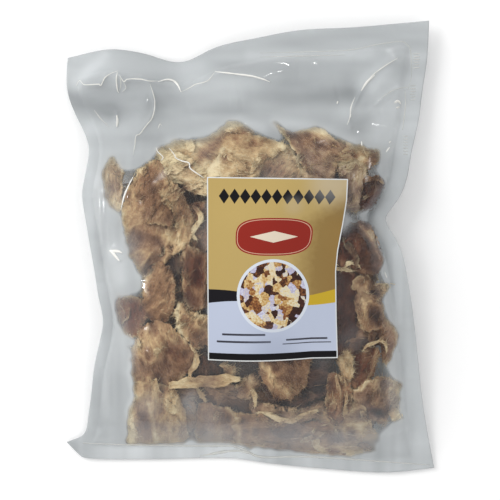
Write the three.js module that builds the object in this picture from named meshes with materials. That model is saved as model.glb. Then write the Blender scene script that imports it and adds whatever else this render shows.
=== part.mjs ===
// A sealed clear pouch of dried fish bits, lying on its back with its label up.
// Millimetres, +Z up, +Y towards the top seal. The back of the pouch rests on z = 0.
import * as THREE from 'three';

// ---- Driving dimensions (mm) --------------------------------------------------------------

// The pouch: a flat one of 203 x 254 mm (8 x 10 in), drawn in at the sides by what fills it.
const FILM_SEAL_THICKNESS = 1.2;
const LEFT_SEAL_WIDTH = 6;
const RIGHT_SEAL_WIDTH = 10;
const TOP_SEAL_WIDTH = 12;
const BOTTOM_SEAL_WIDTH = 8;
const FLAT_WIDTH = 203;
const FLAT_LENGTH = 240;

// Plan outline as seen from above. Sides are [y, x] from bottom to top.
const LEFT_SIDE = [
  [-118, -92], [-113, -98], [-108.5, -102], [-107, -100], [-104.5, -92], [-98, -90.5], [-84, -88.3],
  [-65, -86], [-50, -82.5], [-41, -81], [-28, -83.5], [-12, -86], [1, -88.3], [17, -91], [29, -92.7],
  [42, -90.5], [54, -88.8], [62, -91], [73, -96.5], [85, -101], [92, -101.6], [105, -101],
];
const RIGHT_SIDE = [
  [-122, 102], [-106, 98.7], [-84, 95], [-57, 92], [-35, 89.4], [-18, 86.6], [-2, 83], [6, 79],
  [12, 75], [16, 73.4], [21, 77.5], [28, 82.5], [37, 86], [53, 89], [70, 93], [86, 95], [103, 97.6],
  [125, 98.7],
];
// The ends are [x, y] from left to right.
const BOTTOM_END = [
  [-102, -115.5], [-93, -117], [-55, -117.6], [-8, -117.2], [7, -119.5], [44, -123.2], [77, -125],
  [102, -122.5],
];
const TOP_END = [
  [-101, 104.5], [-77, 109], [-61, 107.3], [-38, 102.3], [-19, 110.4], [5, 115.5], [27, 119.4],
  [55, 121], [99, 125],
];

// Height of the seal's middle plane round the pouch: sides by y, ends by x.
const LEFT_SEAL_HEIGHT = [[-118, 2], [-100, 4], [-60, 10], [-30, 14], [10, 15], [45, 13], [75, 9], [105, 7]];
const RIGHT_SEAL_HEIGHT = [[-122, 2], [-100, 5], [-60, 10], [-20, 14], [16, 19], [45, 13], [80, 9], [125, 9]];
const BOTTOM_SEAL_HEIGHT = [[-102, 2], [-40, 1.5], [40, 1.5], [102, 2]];
const TOP_SEAL_HEIGHT = [
  [-101, 7], [-77, 12], [-58, 9], [-38, 4], [-19, 8], [5, 12], [30, 13], [60, 11], [99, 9],
];

// The fish pieces that push the film up: centre x, y, half length, half width, turn in degrees,
// and the height of the top.
const PIECES = {
  crest: [-12, 54, 31, 14, -3, 34],
  arrow: [44, 53, 27, 13, -4, 33],
  ear: [68, 48, 9, 9, 0, 27],
  mound: [-54, 23, 17, 27, 5, 43],
  sliver: [-77, 33, 6, 16, -20, 24],
  purpleLobe: [67, 31, 7, 10, 0, 29],
  wing: [-65, -36, 8, 13, 10, 30],
  knuckle: [-50, -28, 12, 17, 0, 38],
  strip: [-32, -23, 8, 24, 0, 44],
  shoulder: [60, -1, 14, 16, 10, 41],
  rib: [67, -32, 9, 15, -8, 35],
  boulder: [-50, -58, 18, 19, 15, 40],
  drape: [-55, -87, 14, 15, 0, 28],
  flake: [-25, -74, 20, 6, 5, 37],
  oliveLobe: [15, -74, 16, 12, 0, 39],
  band: [21, -90, 17, 9, 10, 31],
  tail: [-18, -94, 13, 8, 0, 23],
  curl: [61, -69, 9, 12, 0, 35],
  strands: [49, -88, 8, 14, 0, 32],
  cluster: [72, -86, 13, 13, 0, 30],
  base: [48, -104, 17, 8, 0, 18],
  rim: [77, -54, 7, 11, 0, 28],
  upperHeap: [12, 14, 33, 24, 0, 50],
  lowerHeap: [6, -34, 30, 27, 0, 49],
};
const PIECE_FOOT_HEIGHT = 6;

// What fills the pouch presses its back flat over this oval.
const FOOTPRINT = { x: 2, y: -24, halfWidth: 70, halfLength: 84, squareness: 3 };

// The slack film sags a little between the pieces, as the inside of a bowl of this radius.
const SLACK_FILM_RADIUS = 900;

// Soft folds in the empty film above the contents: from, to, height and half width.
const FOLDS = [
  { from: [-90, 92], to: [-66, 93], height: 3.5, halfWidth: 6 },
  { from: [-66, 91], to: [-28, 88], height: 3, halfWidth: 6 },
  { from: [-24, 94], to: [14, 93], height: 3, halfWidth: 6 },
  { from: [-54, 88], to: [-62, 60], height: 3, halfWidth: 6 },
  { from: [80, 100], to: [56, 70], height: 3.5, halfWidth: 6 },
];

// The paper label, 76 x 102 mm (3 x 4 in), bent over the heap. Its sides are [y, x].
const LABEL_THICKNESS = 0.4;
const LABEL_GAP = 0.6;
const LABEL_TOP = 38;
const LABEL_BOTTOM = -62;
const LABEL_LEFT_SIDE = [[LABEL_BOTTOM, -23.2], [-10, -23.8], [LABEL_TOP, -23.8]];
const LABEL_RIGHT_SIDE = [
  [LABEL_BOTTOM, 47.8], [-37, 47.2], [-13, 47.4], [0, 48.6], [12, 50.8], [26, 53], [LABEL_TOP, 53.4],
];

// How finely the sheets are divided.
const FILM_COLUMNS = 38;
const FILM_ROWS = 44;
const LABEL_COLUMNS = 12;
const LABEL_ROWS = 16;
const PLACING_ROUNDS = 12;
const TIGHTENING_ROUNDS = 400;
const ROUNDING_ROUNDS = 1;
const PAPER_ROUNDING_ROUNDS = 6;

// ---- Shared shapes ------------------------------------------------------------------------

// A smooth curve through pairs of [position, value], read at any position.
function profile(pairs) {
  const positions = pairs.map((pair) => pair[0]);
  const values = pairs.map((pair) => pair[1]);
  const curve = new THREE.CubicInterpolant(positions, values, 1, new Float32Array(1));
  return (position) => curve.evaluate(position)[0];
}

// Evenly spaced divisions between two ends, both ends included.
function evenly(start, end, count) {
  return Array.from({ length: count + 1 }, (_, index) => THREE.MathUtils.lerp(start, end, index / count));
}

// One closed body between an upper and a lower sheet of points, row by row, of equal size.
function bodyBetween(upper, lower, columns, rows) {
  const corner = (column, row) => row * columns + column;
  const sheetSize = columns * rows;
  const faces = [];
  for (let row = 0; row < rows - 1; row += 1) {
    for (let column = 0; column < columns - 1; column += 1) {
      const a = corner(column, row);
      const b = corner(column + 1, row);
      const c = corner(column + 1, row + 1);
      const d = corner(column, row + 1);
      faces.push(a, b, c, a, c, d);
      faces.push(sheetSize + a, sheetSize + c, sheetSize + b, sheetSize + a, sheetSize + d, sheetSize + c);
    }
  }
  const rimLoop = [];
  for (let column = 0; column < columns - 1; column += 1) rimLoop.push(corner(column, 0));
  for (let row = 0; row < rows - 1; row += 1) rimLoop.push(corner(columns - 1, row));
  for (let column = columns - 1; column > 0; column -= 1) rimLoop.push(corner(column, rows - 1));
  for (let row = rows - 1; row > 0; row -= 1) rimLoop.push(corner(0, row));
  rimLoop.forEach((here, index) => {
    const next = rimLoop[(index + 1) % rimLoop.length];
    faces.push(sheetSize + here, sheetSize + next, next, sheetSize + here, next, here);
  });
  const geometry = new THREE.BufferGeometry().setFromPoints([...upper, ...lower]);
  geometry.setIndex(faces);
  geometry.computeVertexNormals();
  return geometry;
}

// ---- The pouch ----------------------------------------------------------------------------

const leftSide = profile(LEFT_SIDE);
const rightSide = profile(RIGHT_SIDE);
const bottomEnd = profile(BOTTOM_END);
const topEnd = profile(TOP_END);
const labelLeft = profile(LABEL_LEFT_SIDE);
const labelRight = profile(LABEL_RIGHT_SIDE);
const sealHeight = {
  left: profile(LEFT_SEAL_HEIGHT),
  right: profile(RIGHT_SEAL_HEIGHT),
  bottom: profile(BOTTOM_SEAL_HEIGHT),
  top: profile(TOP_SEAL_HEIGHT),
};

// Divisions across and along the pouch as fractions, with lines on the inner edges of the seals.
const leftSealLine = LEFT_SEAL_WIDTH / FLAT_WIDTH;
const rightSealLine = 1 - RIGHT_SEAL_WIDTH / FLAT_WIDTH;
const bottomSealLine = BOTTOM_SEAL_WIDTH / FLAT_LENGTH;
const topSealLine = 1 - TOP_SEAL_WIDTH / FLAT_LENGTH;
const across = [0, ...evenly(leftSealLine, rightSealLine, FILM_COLUMNS - 2), 1];
const along = [0, ...evenly(bottomSealLine, topSealLine, FILM_ROWS - 3), (topSealLine + 1) / 2, 1];

// The place in plan of a point of the film, where the sides and ends are both met.
function filmPlace(u, v) {
  let x = 0;
  let y = THREE.MathUtils.lerp(BOTTOM_END[0][1], TOP_END[0][1], v);
  for (let round = 0; round < PLACING_ROUNDS; round += 1) {
    x = THREE.MathUtils.lerp(leftSide(y), rightSide(y), u);
    y = THREE.MathUtils.lerp(bottomEnd(x), topEnd(x), v);
  }
  return new THREE.Vector2(x, y);
}

// Height of the seal at a place of the seal band, or null inside the band.
function sealAt(u, v) {
  const place = filmPlace(u, v);
  if (v <= bottomSealLine) return sealHeight.bottom(place.x);
  if (v >= topSealLine) return sealHeight.top(place.x);
  if (u <= leftSealLine) return sealHeight.left(place.y);
  if (u >= rightSealLine) return sealHeight.right(place.y);
  return null;
}

// Height of the highest fish piece over a place, or nothing where there is none.
function piecesTop(place) {
  let height = -Infinity;
  for (const [x, y, halfLength, halfWidth, turn, top] of Object.values(PIECES)) {
    const offset = place.clone().sub(new THREE.Vector2(x, y));
    offset.rotateAround(new THREE.Vector2(), -THREE.MathUtils.degToRad(turn));
    const reach = (offset.x / halfLength) ** 2 + (offset.y / halfWidth) ** 2;
    const rise = (top - PIECE_FOOT_HEIGHT) * Math.sqrt(1 - reach);
    if (reach < 1) height = Math.max(height, PIECE_FOOT_HEIGHT + rise);
  }
  return height;
}

// True where the contents press the back of the pouch on what it lies on.
function liesFlat(place) {
  const { x, y, halfWidth, halfLength, squareness } = FOOTPRINT;
  const reachAcross = Math.abs((place.x - x) / halfWidth) ** squareness;
  const reachAlong = Math.abs((place.y - y) / halfLength) ** squareness;
  return reachAcross + reachAlong < 1;
}

// True under the label and one cell round it.
function underLabel(place) {
  const cell = FLAT_WIDTH / FILM_COLUMNS;
  const insideAcross = place.x > labelLeft(place.y) - cell && place.x < labelRight(place.y) + cell;
  return insideAcross && place.y > LABEL_BOTTOM - cell && place.y < LABEL_TOP + cell;
}

// Rise of the film's folds over a place.
function foldRise(place) {
  let rise = 0;
  for (const { from, to, height, halfWidth } of FOLDS) {
    const line = new THREE.Line3(new THREE.Vector3(...from, 0), new THREE.Vector3(...to, 0));
    const point = new THREE.Vector3(place.x, place.y, 0);
    const nearest = line.closestPointToPoint(point, true, new THREE.Vector3());
    rise = Math.max(rise, height * Math.exp(-((point.distanceTo(nearest) / halfWidth) ** 2)));
  }
  return rise;
}

// Film pulled tight: in each round every free height moves to the mean of its four neighbours,
// never past what it is stretched over.
function stretch(heights, free, rounds, sag, limit) {
  const columns = across.length;
  for (let round = 0; round < rounds; round += 1) {
    for (const index of free) {
      const beside = heights[index - 1] + heights[index + 1];
      const inLine = heights[index - columns] + heights[index + columns];
      heights[index] = limit(index, (beside + inLine) / 4 - sag);
    }
  }
}

// The pouch with its contents: front and back film meet in the seals, and the front is drawn
// over the pieces of fish.
function makePouch() {
  const places = along.flatMap((v) => across.map((u) => filmPlace(u, v)));
  const seals = along.flatMap((v) => across.map((u) => sealAt(u, v)));
  const free = places.map((_, index) => index).filter((index) => seals[index] === null);
  const cellArea = (FLAT_LENGTH / FILM_ROWS) ** 2;
  const sag = cellArea / (2 * SLACK_FILM_RADIUS);

  const supports = places.map(piecesTop);
  const front = seals.map((seal) => (seal ?? PIECE_FOOT_HEIGHT) + FILM_SEAL_THICKNESS / 2);
  stretch(front, free, TIGHTENING_ROUNDS, sag, (index, height) => Math.max(height, supports[index]));
  stretch(front, free, ROUNDING_ROUNDS, 0, (index, height) => height);
  const labelled = free.filter((index) => underLabel(places[index]));
  stretch(front, labelled, PAPER_ROUNDING_ROUNDS, 0, (index, height) => height);

  const back = seals.map((seal) => Math.max(0, (seal ?? 0) - FILM_SEAL_THICKNESS / 2));
  const pressed = places.map(liesFlat);
  stretch(back, free, TIGHTENING_ROUNDS, 0, (index, height) => (pressed[index] ? 0 : Math.max(0, height)));

  for (const index of free) {
    front[index] = Math.max(front[index] + foldRise(places[index]), back[index] + FILM_SEAL_THICKNESS);
  }
  const upper = places.map((place, index) => new THREE.Vector3(place.x, place.y, front[index]));
  const lower = places.map((place, index) => new THREE.Vector3(place.x, place.y, back[index]));
  const film = new THREE.MeshStandardMaterial({ color: 0xb7a48c, roughness: 0.35, metalness: 0 });
  const pouch = new THREE.Mesh(bodyBetween(upper, lower, across.length, along.length), film);
  pouch.name = 'bag';
  return pouch;
}

// ---- The label ----------------------------------------------------------------------------

// A thin sheet that follows the film under it, a small gap above it.
function makeLabel(pouch) {
  const down = new THREE.Vector3(0, 0, -1);
  const aboveAll = 200;
  const lower = evenly(LABEL_BOTTOM, LABEL_TOP, LABEL_ROWS).flatMap((y) => (
    evenly(labelLeft(y), labelRight(y), LABEL_COLUMNS).map((x) => {
      const ray = new THREE.Raycaster(new THREE.Vector3(x, y, aboveAll), down);
      const film = ray.intersectObject(pouch)[0].point;
      return film.setZ(film.z + LABEL_GAP);
    })
  ));
  const upper = lower.map((point) => point.clone().setZ(point.z + LABEL_THICKNESS));
  const paper = new THREE.MeshStandardMaterial({ color: 0xc3a768, roughness: 0.45, metalness: 0 });
  const label = new THREE.Mesh(bodyBetween(upper, lower, LABEL_COLUMNS + 1, LABEL_ROWS + 1), paper);
  label.name = 'label';
  return label;
}

// ---- The pack -----------------------------------------------------------------------------

// The origin is under the middle of the pack, on the surface that it lies on.
const group = new THREE.Group();
const pouch = makePouch();
group.add(pouch, makeLabel(pouch));
const extent = new THREE.Box3().setFromObject(group);
const middle = extent.getCenter(new THREE.Vector3());
group.position.set(-middle.x, -middle.y, -extent.min.z);
group.updateMatrixWorld(true);

export default group;
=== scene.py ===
"""A sealed clear pouch of dried fish bits with a paper label, lying on its back.

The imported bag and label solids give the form. The bag is dressed as a heap of torn, curled
pieces of air-dried fish inside a milky film, and the label as a printed paper sticker.
"""

import logging
import math
from collections.abc import Callable
from dataclasses import dataclass, field
from enum import Enum
from functools import partial

import bpy
import numpy as np
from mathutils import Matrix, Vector
from mathutils.bvhtree import BVHTree


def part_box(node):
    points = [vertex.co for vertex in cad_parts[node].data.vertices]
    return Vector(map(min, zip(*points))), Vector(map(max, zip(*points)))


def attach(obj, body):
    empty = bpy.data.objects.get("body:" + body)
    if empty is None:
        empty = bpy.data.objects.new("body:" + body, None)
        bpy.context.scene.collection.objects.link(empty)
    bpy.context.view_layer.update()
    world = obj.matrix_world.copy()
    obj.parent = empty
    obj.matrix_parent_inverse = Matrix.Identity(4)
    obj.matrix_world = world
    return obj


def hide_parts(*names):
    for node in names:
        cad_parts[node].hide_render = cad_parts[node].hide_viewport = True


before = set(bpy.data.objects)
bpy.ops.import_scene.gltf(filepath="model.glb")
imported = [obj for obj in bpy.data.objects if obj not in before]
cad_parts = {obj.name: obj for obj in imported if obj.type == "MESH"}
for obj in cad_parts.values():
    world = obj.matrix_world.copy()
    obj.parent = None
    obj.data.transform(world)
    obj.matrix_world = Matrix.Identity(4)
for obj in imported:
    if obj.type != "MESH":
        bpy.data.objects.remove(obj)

LOG = logging.getLogger("pouch")

MM = 0.001
FAR = 1.0
DOWN, UP = Vector((0, 0, -1)), Vector((0, 0, 1))
Picture = tuple[float, float]
SoftPatch = tuple[list[Picture], float, float]
Socket = bpy.types.NodeSocket
AddNode = Callable[..., Socket]
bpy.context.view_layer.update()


# ---- Shared measuring -----------------------------------------------------------------------


@dataclass(frozen=True)
class Viewpoint:
    """Where the picture is taken from, and where a picture point lies on the pouch.

    The picture is 500 x 500 and looks straight down, with +Y up.
    """

    pixel: float = 0.55 * MM
    middle: Picture = (250.0, 250.0)
    place: Picture = (-0.275 * MM, -1.65 * MM)
    height: float = 1.5
    true_size_height: float = 15 * MM

    def _scale(self, height: np.ndarray) -> np.ndarray:
        """Gives how many metres one picture point spans at a height."""
        return self.pixel * (self.height - height) / (self.height - self.true_size_height)

    def at(self, points: np.ndarray, height: np.ndarray) -> np.ndarray:
        """Finds the plan places that picture points show at given heights.

        Args:
            points: Picture columns and rows, one pair per row.
            height: Heights of the surface above the floor, in metres.

        Returns:
            Plan places, one pair per row.
        """
        scale = self._scale(height)
        return np.column_stack([self.place[0] + (points[:, 0] - self.middle[0]) * scale,
                                self.place[1] + (self.middle[1] - points[:, 1]) * scale])

    def seen(self, places: np.ndarray) -> np.ndarray:
        """Finds where places in space are seen in the picture.

        Args:
            places: Places in space, one per row.

        Returns:
            Picture columns and rows, one pair per row.
        """
        scale = self._scale(places[:, 2])
        return np.column_stack([(places[:, 0] - self.place[0]) / scale + self.middle[0],
                                self.middle[1] - (places[:, 1] - self.place[1]) / scale])

    def lens(self, sensor: float, picture_width: int = 500) -> float:
        """Gives the focal length in millimetres that makes one pixel its true size."""
        return sensor * (self.height - self.true_size_height) / (picture_width * self.pixel)


VIEW = Viewpoint()


@dataclass
class Grain:
    """Smooth seeded noise in the plane, from 0 to 1."""

    seed: int
    cells: int = 64
    table: np.ndarray = field(init=False)

    def __post_init__(self) -> None:
        """Draws the lattice of random values."""
        self.table = np.random.default_rng(self.seed).random((self.cells, self.cells))

    def at(self, x: np.ndarray, y: np.ndarray) -> np.ndarray:
        """Reads the noise.

        Args:
            x: Places along the first axis, in cells.
            y: Places along the second axis, in cells.

        Returns:
            One value for each place.
        """
        column, row = np.floor(x).astype(int), np.floor(y).astype(int)
        across, up = x - column, y - row
        across, up = across * across * (3 - 2 * across), up * up * (3 - 2 * up)
        c0, c1 = column % self.cells, (column + 1) % self.cells
        r0, r1 = row % self.cells, (row + 1) % self.cells
        low = self.table[r0, c0] * (1 - across) + self.table[r0, c1] * across
        high = self.table[r1, c0] * (1 - across) + self.table[r1, c1] * across
        return low * (1 - up) + high * up

    def layered(self, x: np.ndarray, y: np.ndarray, octaves: int = 3) -> np.ndarray:
        """Adds up finer and finer layers of the noise.

        Args:
            x: Places along the first axis, in cells of the coarsest layer.
            y: Places along the second axis, in the same cells.
            octaves: How many layers.

        Returns:
            One value for each place, from 0 to 1.
        """
        total = np.zeros(np.broadcast(x, y).shape)
        weight = 0.0
        for octave in range(octaves):
            share, finer = 0.5**octave, 2.0**octave
            total += share * self.at(x * finer + 17.3 * octave, y * finer + 5.1 * octave)
            weight += share
        return total / weight


def smooth_step(value: np.ndarray, low: float, high: float) -> np.ndarray:
    """Rises smoothly from 0 at low to 1 at high."""
    t = np.clip((value - low) / (high - low), 0, 1)
    return t * t * (3 - 2 * t)


def smooth_path(points: list[Picture], count: int, closed: bool = False) -> np.ndarray:
    """Draws a rounded line through points, evenly divided by length.

    Args:
        points: The corners, in order.
        count: How many points to return.
        closed: Whether the line comes back to its start.

    Returns:
        An array of count points.
    """
    corner = np.asarray(points, float)
    if closed:
        padded = np.vstack([corner[-1:], corner, corner[:2]])
    else:
        padded = np.vstack([2 * corner[0] - corner[1], corner, 2 * corner[-1] - corner[-2]])
    step = np.linspace(0, 1, 12, endpoint=False)[:, None]
    pieces = []
    for a, b, c, d in zip(padded[:-3], padded[1:-2], padded[2:-1], padded[3:]):
        pieces.append(0.5 * (2 * b + (c - a) * step + (2 * a - 5 * b + 4 * c - d) * step**2
                             + (3 * b - a - 3 * c + d) * step**3))
    fine = np.vstack([*pieces, padded[-2][None, :]])
    length = np.concatenate([[0], np.cumsum(np.linalg.norm(np.diff(fine, axis=0), axis=1))])
    where = np.linspace(0, length[-1], count, endpoint=not closed)
    return np.column_stack([np.interp(where, length, fine[:, axis]) for axis in range(2)])


def distance_to_path(places: np.ndarray, path: np.ndarray) -> tuple[np.ndarray, np.ndarray]:
    """Measures how far places lie from a line.

    Args:
        places: Plan places, one per row.
        path: The line's points, in order.

    Returns:
        The distances, and how far along the line the nearest point lies, from 0 to 1.
    """
    nearest = np.full(len(places), np.inf)
    along = np.zeros(len(places))
    for index, (start, end) in enumerate(zip(path[:-1], path[1:])):
        step = end - start
        share = np.clip(((places - start) @ step) / max(step @ step, 1e-18), 0, 1)
        gap = np.linalg.norm(places - start - share[:, None] * step, axis=1)
        closer = gap < nearest
        nearest[closer] = gap[closer]
        along[closer] = (index + share[closer]) / (len(path) - 1)
    return nearest, along


def closed(outline: np.ndarray) -> np.ndarray:
    """Repeats an outline's first point at its end."""
    return np.vstack([outline, outline[:1]])


def inside(places: np.ndarray, outline: np.ndarray) -> np.ndarray:
    """Tells which places lie inside a closed outline.

    Args:
        places: Plan places, one per row.
        outline: The outline's points, in order.

    Returns:
        One truth value for each place.
    """
    x, y = places[:, 0], places[:, 1]
    crossings = np.zeros(len(places), bool)
    for (x0, y0), (x1, y1) in zip(outline, np.roll(outline, -1, axis=0)):
        if y0 == y1:
            continue
        spans = (y0 > y) != (y1 > y)
        crossings ^= spans & (x < (x1 - x0) * (y - y0) / (y1 - y0) + x0)
    return crossings


def held_inside(points: np.ndarray, centre: np.ndarray, margin: float, outline: np.ndarray,
                step: float = 0.82, rounds: int = 12) -> np.ndarray:
    """Draws points in until they lie a margin inside an outline.

    Args:
        points: The points, one per row.
        centre: Where they are drawn to.
        margin: How far inside they must lie, in metres.
        outline: The closed outline.
        step: How much of its way to the centre a point keeps each time.
        rounds: How many times the points outside are drawn in.

    Returns:
        The points drawn in.
    """
    held = points.copy()
    loop = closed(outline)
    for _ in range(rounds):
        out = ~inside(held, outline) | (distance_to_path(held, loop)[0] < margin)
        held[out] = centre + step * (held[out] - centre)
    return held


def blob_round(centre: np.ndarray, reach: np.ndarray, slim: float, turn: float) -> np.ndarray:
    """Sets out an uneven oval.

    Args:
        centre: Its middle.
        reach: How far each point lies from the middle along the oval's length, in metres.
        slim: Its width as a share of its length.
        turn: How far it is turned, in radians.

    Returns:
        Points round the oval, evenly turned.
    """
    angle = np.linspace(0, 2 * math.pi, len(reach), endpoint=False)
    a, b = reach * np.cos(angle), slim * reach * np.sin(angle)
    return centre + np.column_stack([a * math.cos(turn) - b * math.sin(turn),
                                     a * math.sin(turn) + b * math.cos(turn)])


# ---- Shared modelling -----------------------------------------------------------------------


def deselect() -> None:
    """Leaves nothing selected."""
    bpy.ops.object.select_all(action="DESELECT")


def choose(*objects: bpy.types.Object) -> None:
    """Selects these objects alone.

    Args:
        *objects: The objects; the first one becomes active.
    """
    deselect()
    for chosen in objects:
        chosen.select_set(True)
    bpy.context.view_layer.objects.active = objects[0]


def join(objects: list[bpy.types.Object], name: str) -> bpy.types.Object:
    """Makes one object of several.

    Args:
        objects: The objects to join; the first one stays.
        name: The name of what comes out.

    Returns:
        The joined object.
    """
    choose(*objects)
    if len(objects) > 1:
        bpy.ops.object.join()
    objects[0].name = objects[0].data.name = name
    return objects[0]


def apply_modifier(piece: bpy.types.Object, kind: str, **settings: object) -> None:
    """Adds a modifier with its settings and applies it.

    Args:
        piece: The object to change.
        kind: The modifier's type.
        **settings: The modifier's properties.
    """
    choose(piece)
    modifier = piece.modifiers.new(kind.title(), kind)
    for name, value in settings.items():
        setattr(modifier, name, value)
    bpy.ops.object.modifier_apply(modifier=modifier.name)


def set_places(mesh: bpy.types.Mesh, places: np.ndarray) -> None:
    """Moves all points of a mesh."""
    mesh.vertices.foreach_set("co", np.ascontiguousarray(places, np.float32).ravel())
    mesh.update()


def get_places(mesh: bpy.types.Mesh) -> np.ndarray:
    """Reads all points of a mesh.

    Args:
        mesh: The mesh.

    Returns:
        The points, one per row.
    """
    places = np.empty(len(mesh.vertices) * 3, np.float32)
    mesh.vertices.foreach_get("co", places)
    return places.reshape(-1, 3).astype(float)


def set_trait(mesh: bpy.types.Mesh, name: str, values: np.ndarray | float) -> None:
    """Writes a named value on each point, a number or a triple.

    Args:
        mesh: The mesh to write on.
        name: The attribute's name.
        values: One number, or one triple, for each point, or one number for them all.
    """
    if not isinstance(values, np.ndarray):
        values = np.full(len(mesh.vertices), values)
    triple = values.ndim == 2
    kind, slot = ("FLOAT_VECTOR", "vector") if triple else ("FLOAT", "value")
    trait = mesh.attributes.get(name) or mesh.attributes.new(name, kind, "POINT")
    trait.data.foreach_set(slot, np.ascontiguousarray(values, np.float32).ravel())


def add_grid(columns: int, rows: int, size: float = 1) -> bpy.types.Object:
    """Adds a flat square grid.

    Args:
        columns: Cells across.
        rows: Cells up.
        size: The length of its sides in metres.

    Returns:
        The grid.
    """
    deselect()
    bpy.ops.mesh.primitive_grid_add(x_subdivisions=columns, y_subdivisions=rows, size=size)
    return bpy.context.active_object


def copied(piece: bpy.types.Object, places: np.ndarray) -> bpy.types.Object:
    """Copies a piece with its own mesh.

    Args:
        piece: The piece to copy.
        places: Where the copy's points go, one per row.

    Returns:
        The copy.
    """
    made = piece.copy()
    made.data = piece.data.copy()
    bpy.context.collection.objects.link(made)
    set_places(made.data, places)
    return made


def surface_of(piece: bpy.types.Object) -> BVHTree:
    """Readies a piece's faces for measuring."""
    mesh = piece.data
    return BVHTree.FromPolygons([v.co for v in mesh.vertices], [p.vertices[:] for p in mesh.polygons])


def height_on(surface: BVHTree, plan: np.ndarray) -> np.ndarray:
    """Reads the height of a surface at each plan place, from above, or 0 where there is none."""
    hits = (surface.ray_cast(Vector((x, y, FAR)), DOWN)[0] for x, y in plan)
    return np.array([hit.z if hit is not None else 0.0 for hit in hits])


@dataclass
class SheetBlank:
    """A flat square sheet of even cells, made once and copied for every sheet-like piece."""

    cells: int
    blank: bpy.types.Object = field(init=False)
    order: np.ndarray = field(init=False)

    def __post_init__(self) -> None:
        """Adds the sheet and notes the order of its points, row by row."""
        self.blank = add_grid(self.cells, self.cells, 2)
        places = get_places(self.blank.data)
        self.order = np.lexsort((places[:, 0].round(5), places[:, 1].round(5)))

    def copy(self, places: np.ndarray) -> bpy.types.Object:
        """Copies the sheet.

        Args:
            places: Where the copy's points go, row by row.

        Returns:
            The copy.
        """
        arranged = np.empty_like(places)
        arranged[self.order] = places
        return copied(self.blank, arranged)

    def put(self, piece: bpy.types.Object, name: str, values: np.ndarray) -> None:
        """Writes a named value on a copy's points.

        Args:
            piece: The copy.
            name: The attribute's name.
            values: One number, or one triple, for each point, row by row.
        """
        arranged = np.empty_like(values)
        arranged[self.order] = values
        set_trait(piece.data, name, arranged)

    def clear(self) -> None:
        """Takes the blank away once its copies are made."""
        bpy.data.objects.remove(self.blank)


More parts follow.
